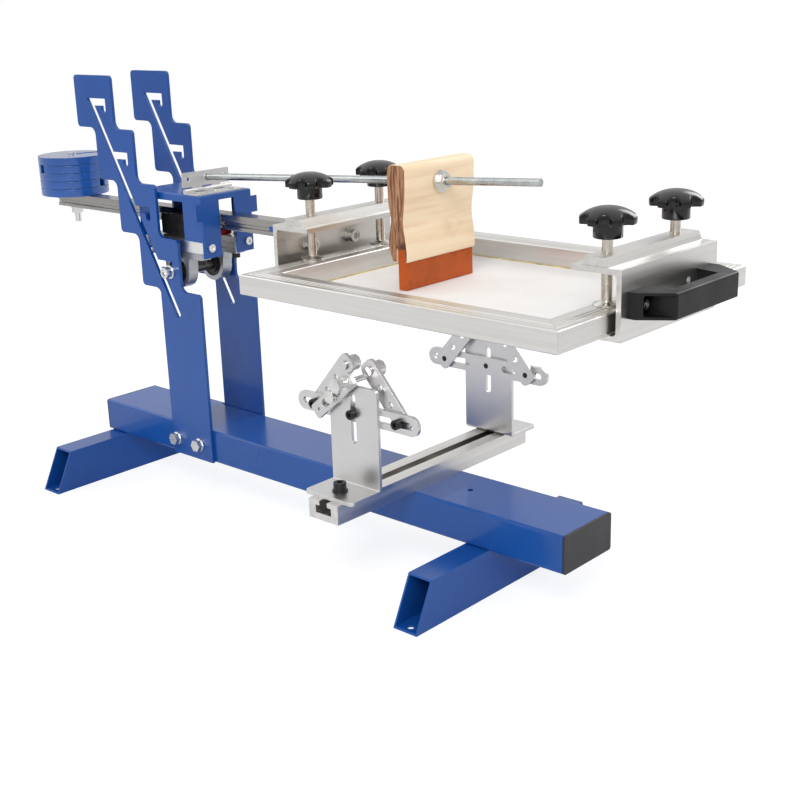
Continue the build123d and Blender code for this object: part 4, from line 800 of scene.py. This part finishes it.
# Four mitred bars, each from one corner to the next; a corner is its place and the way inwards.
def frameBars(settings):
    low, high = nodeSpan("screen_frame")
    profile = frameProfile(settings)
    corners = ((low.x, low.y, 1, 1), (high.x, low.y, -1, 1),
               (high.x, high.y, -1, -1), (low.x, high.y, 1, -1))
    for k, (name, finish) in enumerate(settings["bars"]):
        work = bmesh.new()
        first, second = corners[k], corners[(k + 1) % len(corners)]
        along = Vector((second[0] - first[0], second[1] - first[1], 0)).normalized()
        ends = []
        for corner, away in ((first, 1), (second, -1)):
            shift = along * (away * settings["seam"] * mm)
            ends.append([work.verts.new((corner[0] + corner[2] * inset * mm + shift.x,
                                         corner[1] + corner[3] * inset * mm + shift.y,
                                         low.z + height * mm)) for inset, height in profile])
        skin(work, *ends)
        work.faces.new(ends[0])
        work.faces.new(ends[1][::-1])
        bar = outwardObject(name, work)
        softenEdges(bar, 0)
        finished(bar, "screen_frame", finish)


sheetSettings = {"columns": 62, "rows": 50, "spare": 0.05}   # spare is mm inside the CAD sheet's faces


def stretchedMesh(settings):
    low, high = nodeSpan("screen_mesh")
    columns, rows = settings["columns"], settings["rows"]
    spare = settings["spare"] * mm
    work = bmesh.new()
    grid = {}
    for level, z in ((0, low.z + spare), (1, high.z - spare)):
        for i in range(columns + 1):
            for j in range(rows + 1):
                x = low.x + (high.x - low.x) * i / columns
                y = low.y + (high.y - low.y) * j / rows
                grid[level, i, j] = work.verts.new((x, y, z))

    def quad(*keys):
        work.faces.new([grid[key] for key in keys])

    for i in range(columns):
        for j in range(rows):
            quad((1, i, j), (1, i + 1, j), (1, i + 1, j + 1), (1, i, j + 1))
            quad((0, i, j + 1), (0, i + 1, j + 1), (0, i + 1, j), (0, i, j))
    for i in range(columns):
        quad((0, i, 0), (0, i + 1, 0), (1, i + 1, 0), (1, i, 0))
        quad((1, i, rows), (1, i + 1, rows), (0, i + 1, rows), (0, i, rows))
    for j in range(rows):
        quad((1, 0, j), (1, 0, j + 1), (0, 0, j + 1), (0, 0, j))
        quad((0, columns, j), (0, columns, j + 1), (1, columns, j + 1), (1, columns, j))
    sheet = outwardObject("printingMesh", work)
    finished(sheet, "screen_mesh", "meshWeave")


glueSettings = {"wide": 1.2, "tall": 0.9, "lift": 0.02, "slope": 0.1}   # mm


def rectangle(work, x0, y0, x1, y1, z):
    return [work.verts.new((x, y, z)) for x, y in ((x0, y0), (x1, y0), (x1, y1), (x0, y1))]


# Glue squeezed out where the mesh meets the inner walls of the frame.
def glueLines(settings):
    low, high = nodeSpan("screen_frame")
    meshTop = nodeSpan("screen_mesh")[1].z
    inset = frameSettings["barWidth"] * mm
    wide, slope = settings["wide"] * mm, settings["slope"] * mm
    left, right, near, far = low.x + inset, high.x - inset, low.y + inset, high.y - inset
    runs = ((left, near, right, near + wide), (left, far - wide, right, far),
            (left, near + wide, left + wide, far - wide), (right - wide, near + wide, right, far - wide))
    work = bmesh.new()
    for x0, y0, x1, y1 in runs:
        base = rectangle(work, x0, y0, x1, y1, meshTop + settings["lift"] * mm)
        ridge = rectangle(work, x0 + slope, y0 + slope, x1 - slope, y1 - slope,
                          meshTop + settings["tall"] * mm)
        work.faces.new(base[::-1])
        work.faces.new(ridge)
        skin(work, base, ridge)
    added(outwardObject("meshGlue", work), "glueLine", "screen_frame")


frameBars(frameSettings)
stretchedMesh(sheetSettings)
glueLines(glueSettings)
print("frame and mesh ready")


wiperSettings = {  # mm
    "thickness": 0.8,
    "proud": 0.1,
    "sideInset": 1,
    "bottom": 0.4,           # from the seal's underside
    "top": 7,
    "edge": 0.2,
}
boxSides = ((0, 1, 3, 2), (4, 6, 7, 5), (0, 4, 5, 1), (2, 3, 7, 6), (0, 2, 6, 4), (1, 5, 7, 3))


# A thin red wiper let into the outer face of each end seal, low down.
def wipers(settings):
    low, high = nodeSpan("carriage_end_caps")
    ySpan = (low.y + settings["sideInset"] * mm, high.y - settings["sideInset"] * mm)
    zSpan = (low.z + settings["bottom"] * mm, low.z + settings["top"] * mm)
    work = bmesh.new()
    for face, inward in ((low.x, 1), (high.x, -1)):
        xSpan = sorted((face - inward * settings["proud"] * mm, face + inward * settings["thickness"] * mm))
        corners = [work.verts.new((x, y, z)) for x in xSpan for y in ySpan for z in zSpan]
        for sideCorners in boxSides:
            work.faces.new([corners[k] for k in sideCorners])
    seal = outwardObject("guideWipers", work)
    softenEdges(seal, settings["edge"])
    added(seal, "redSeal", "carriage_end_caps")


wipers(wiperSettings)
print("wipers ready")
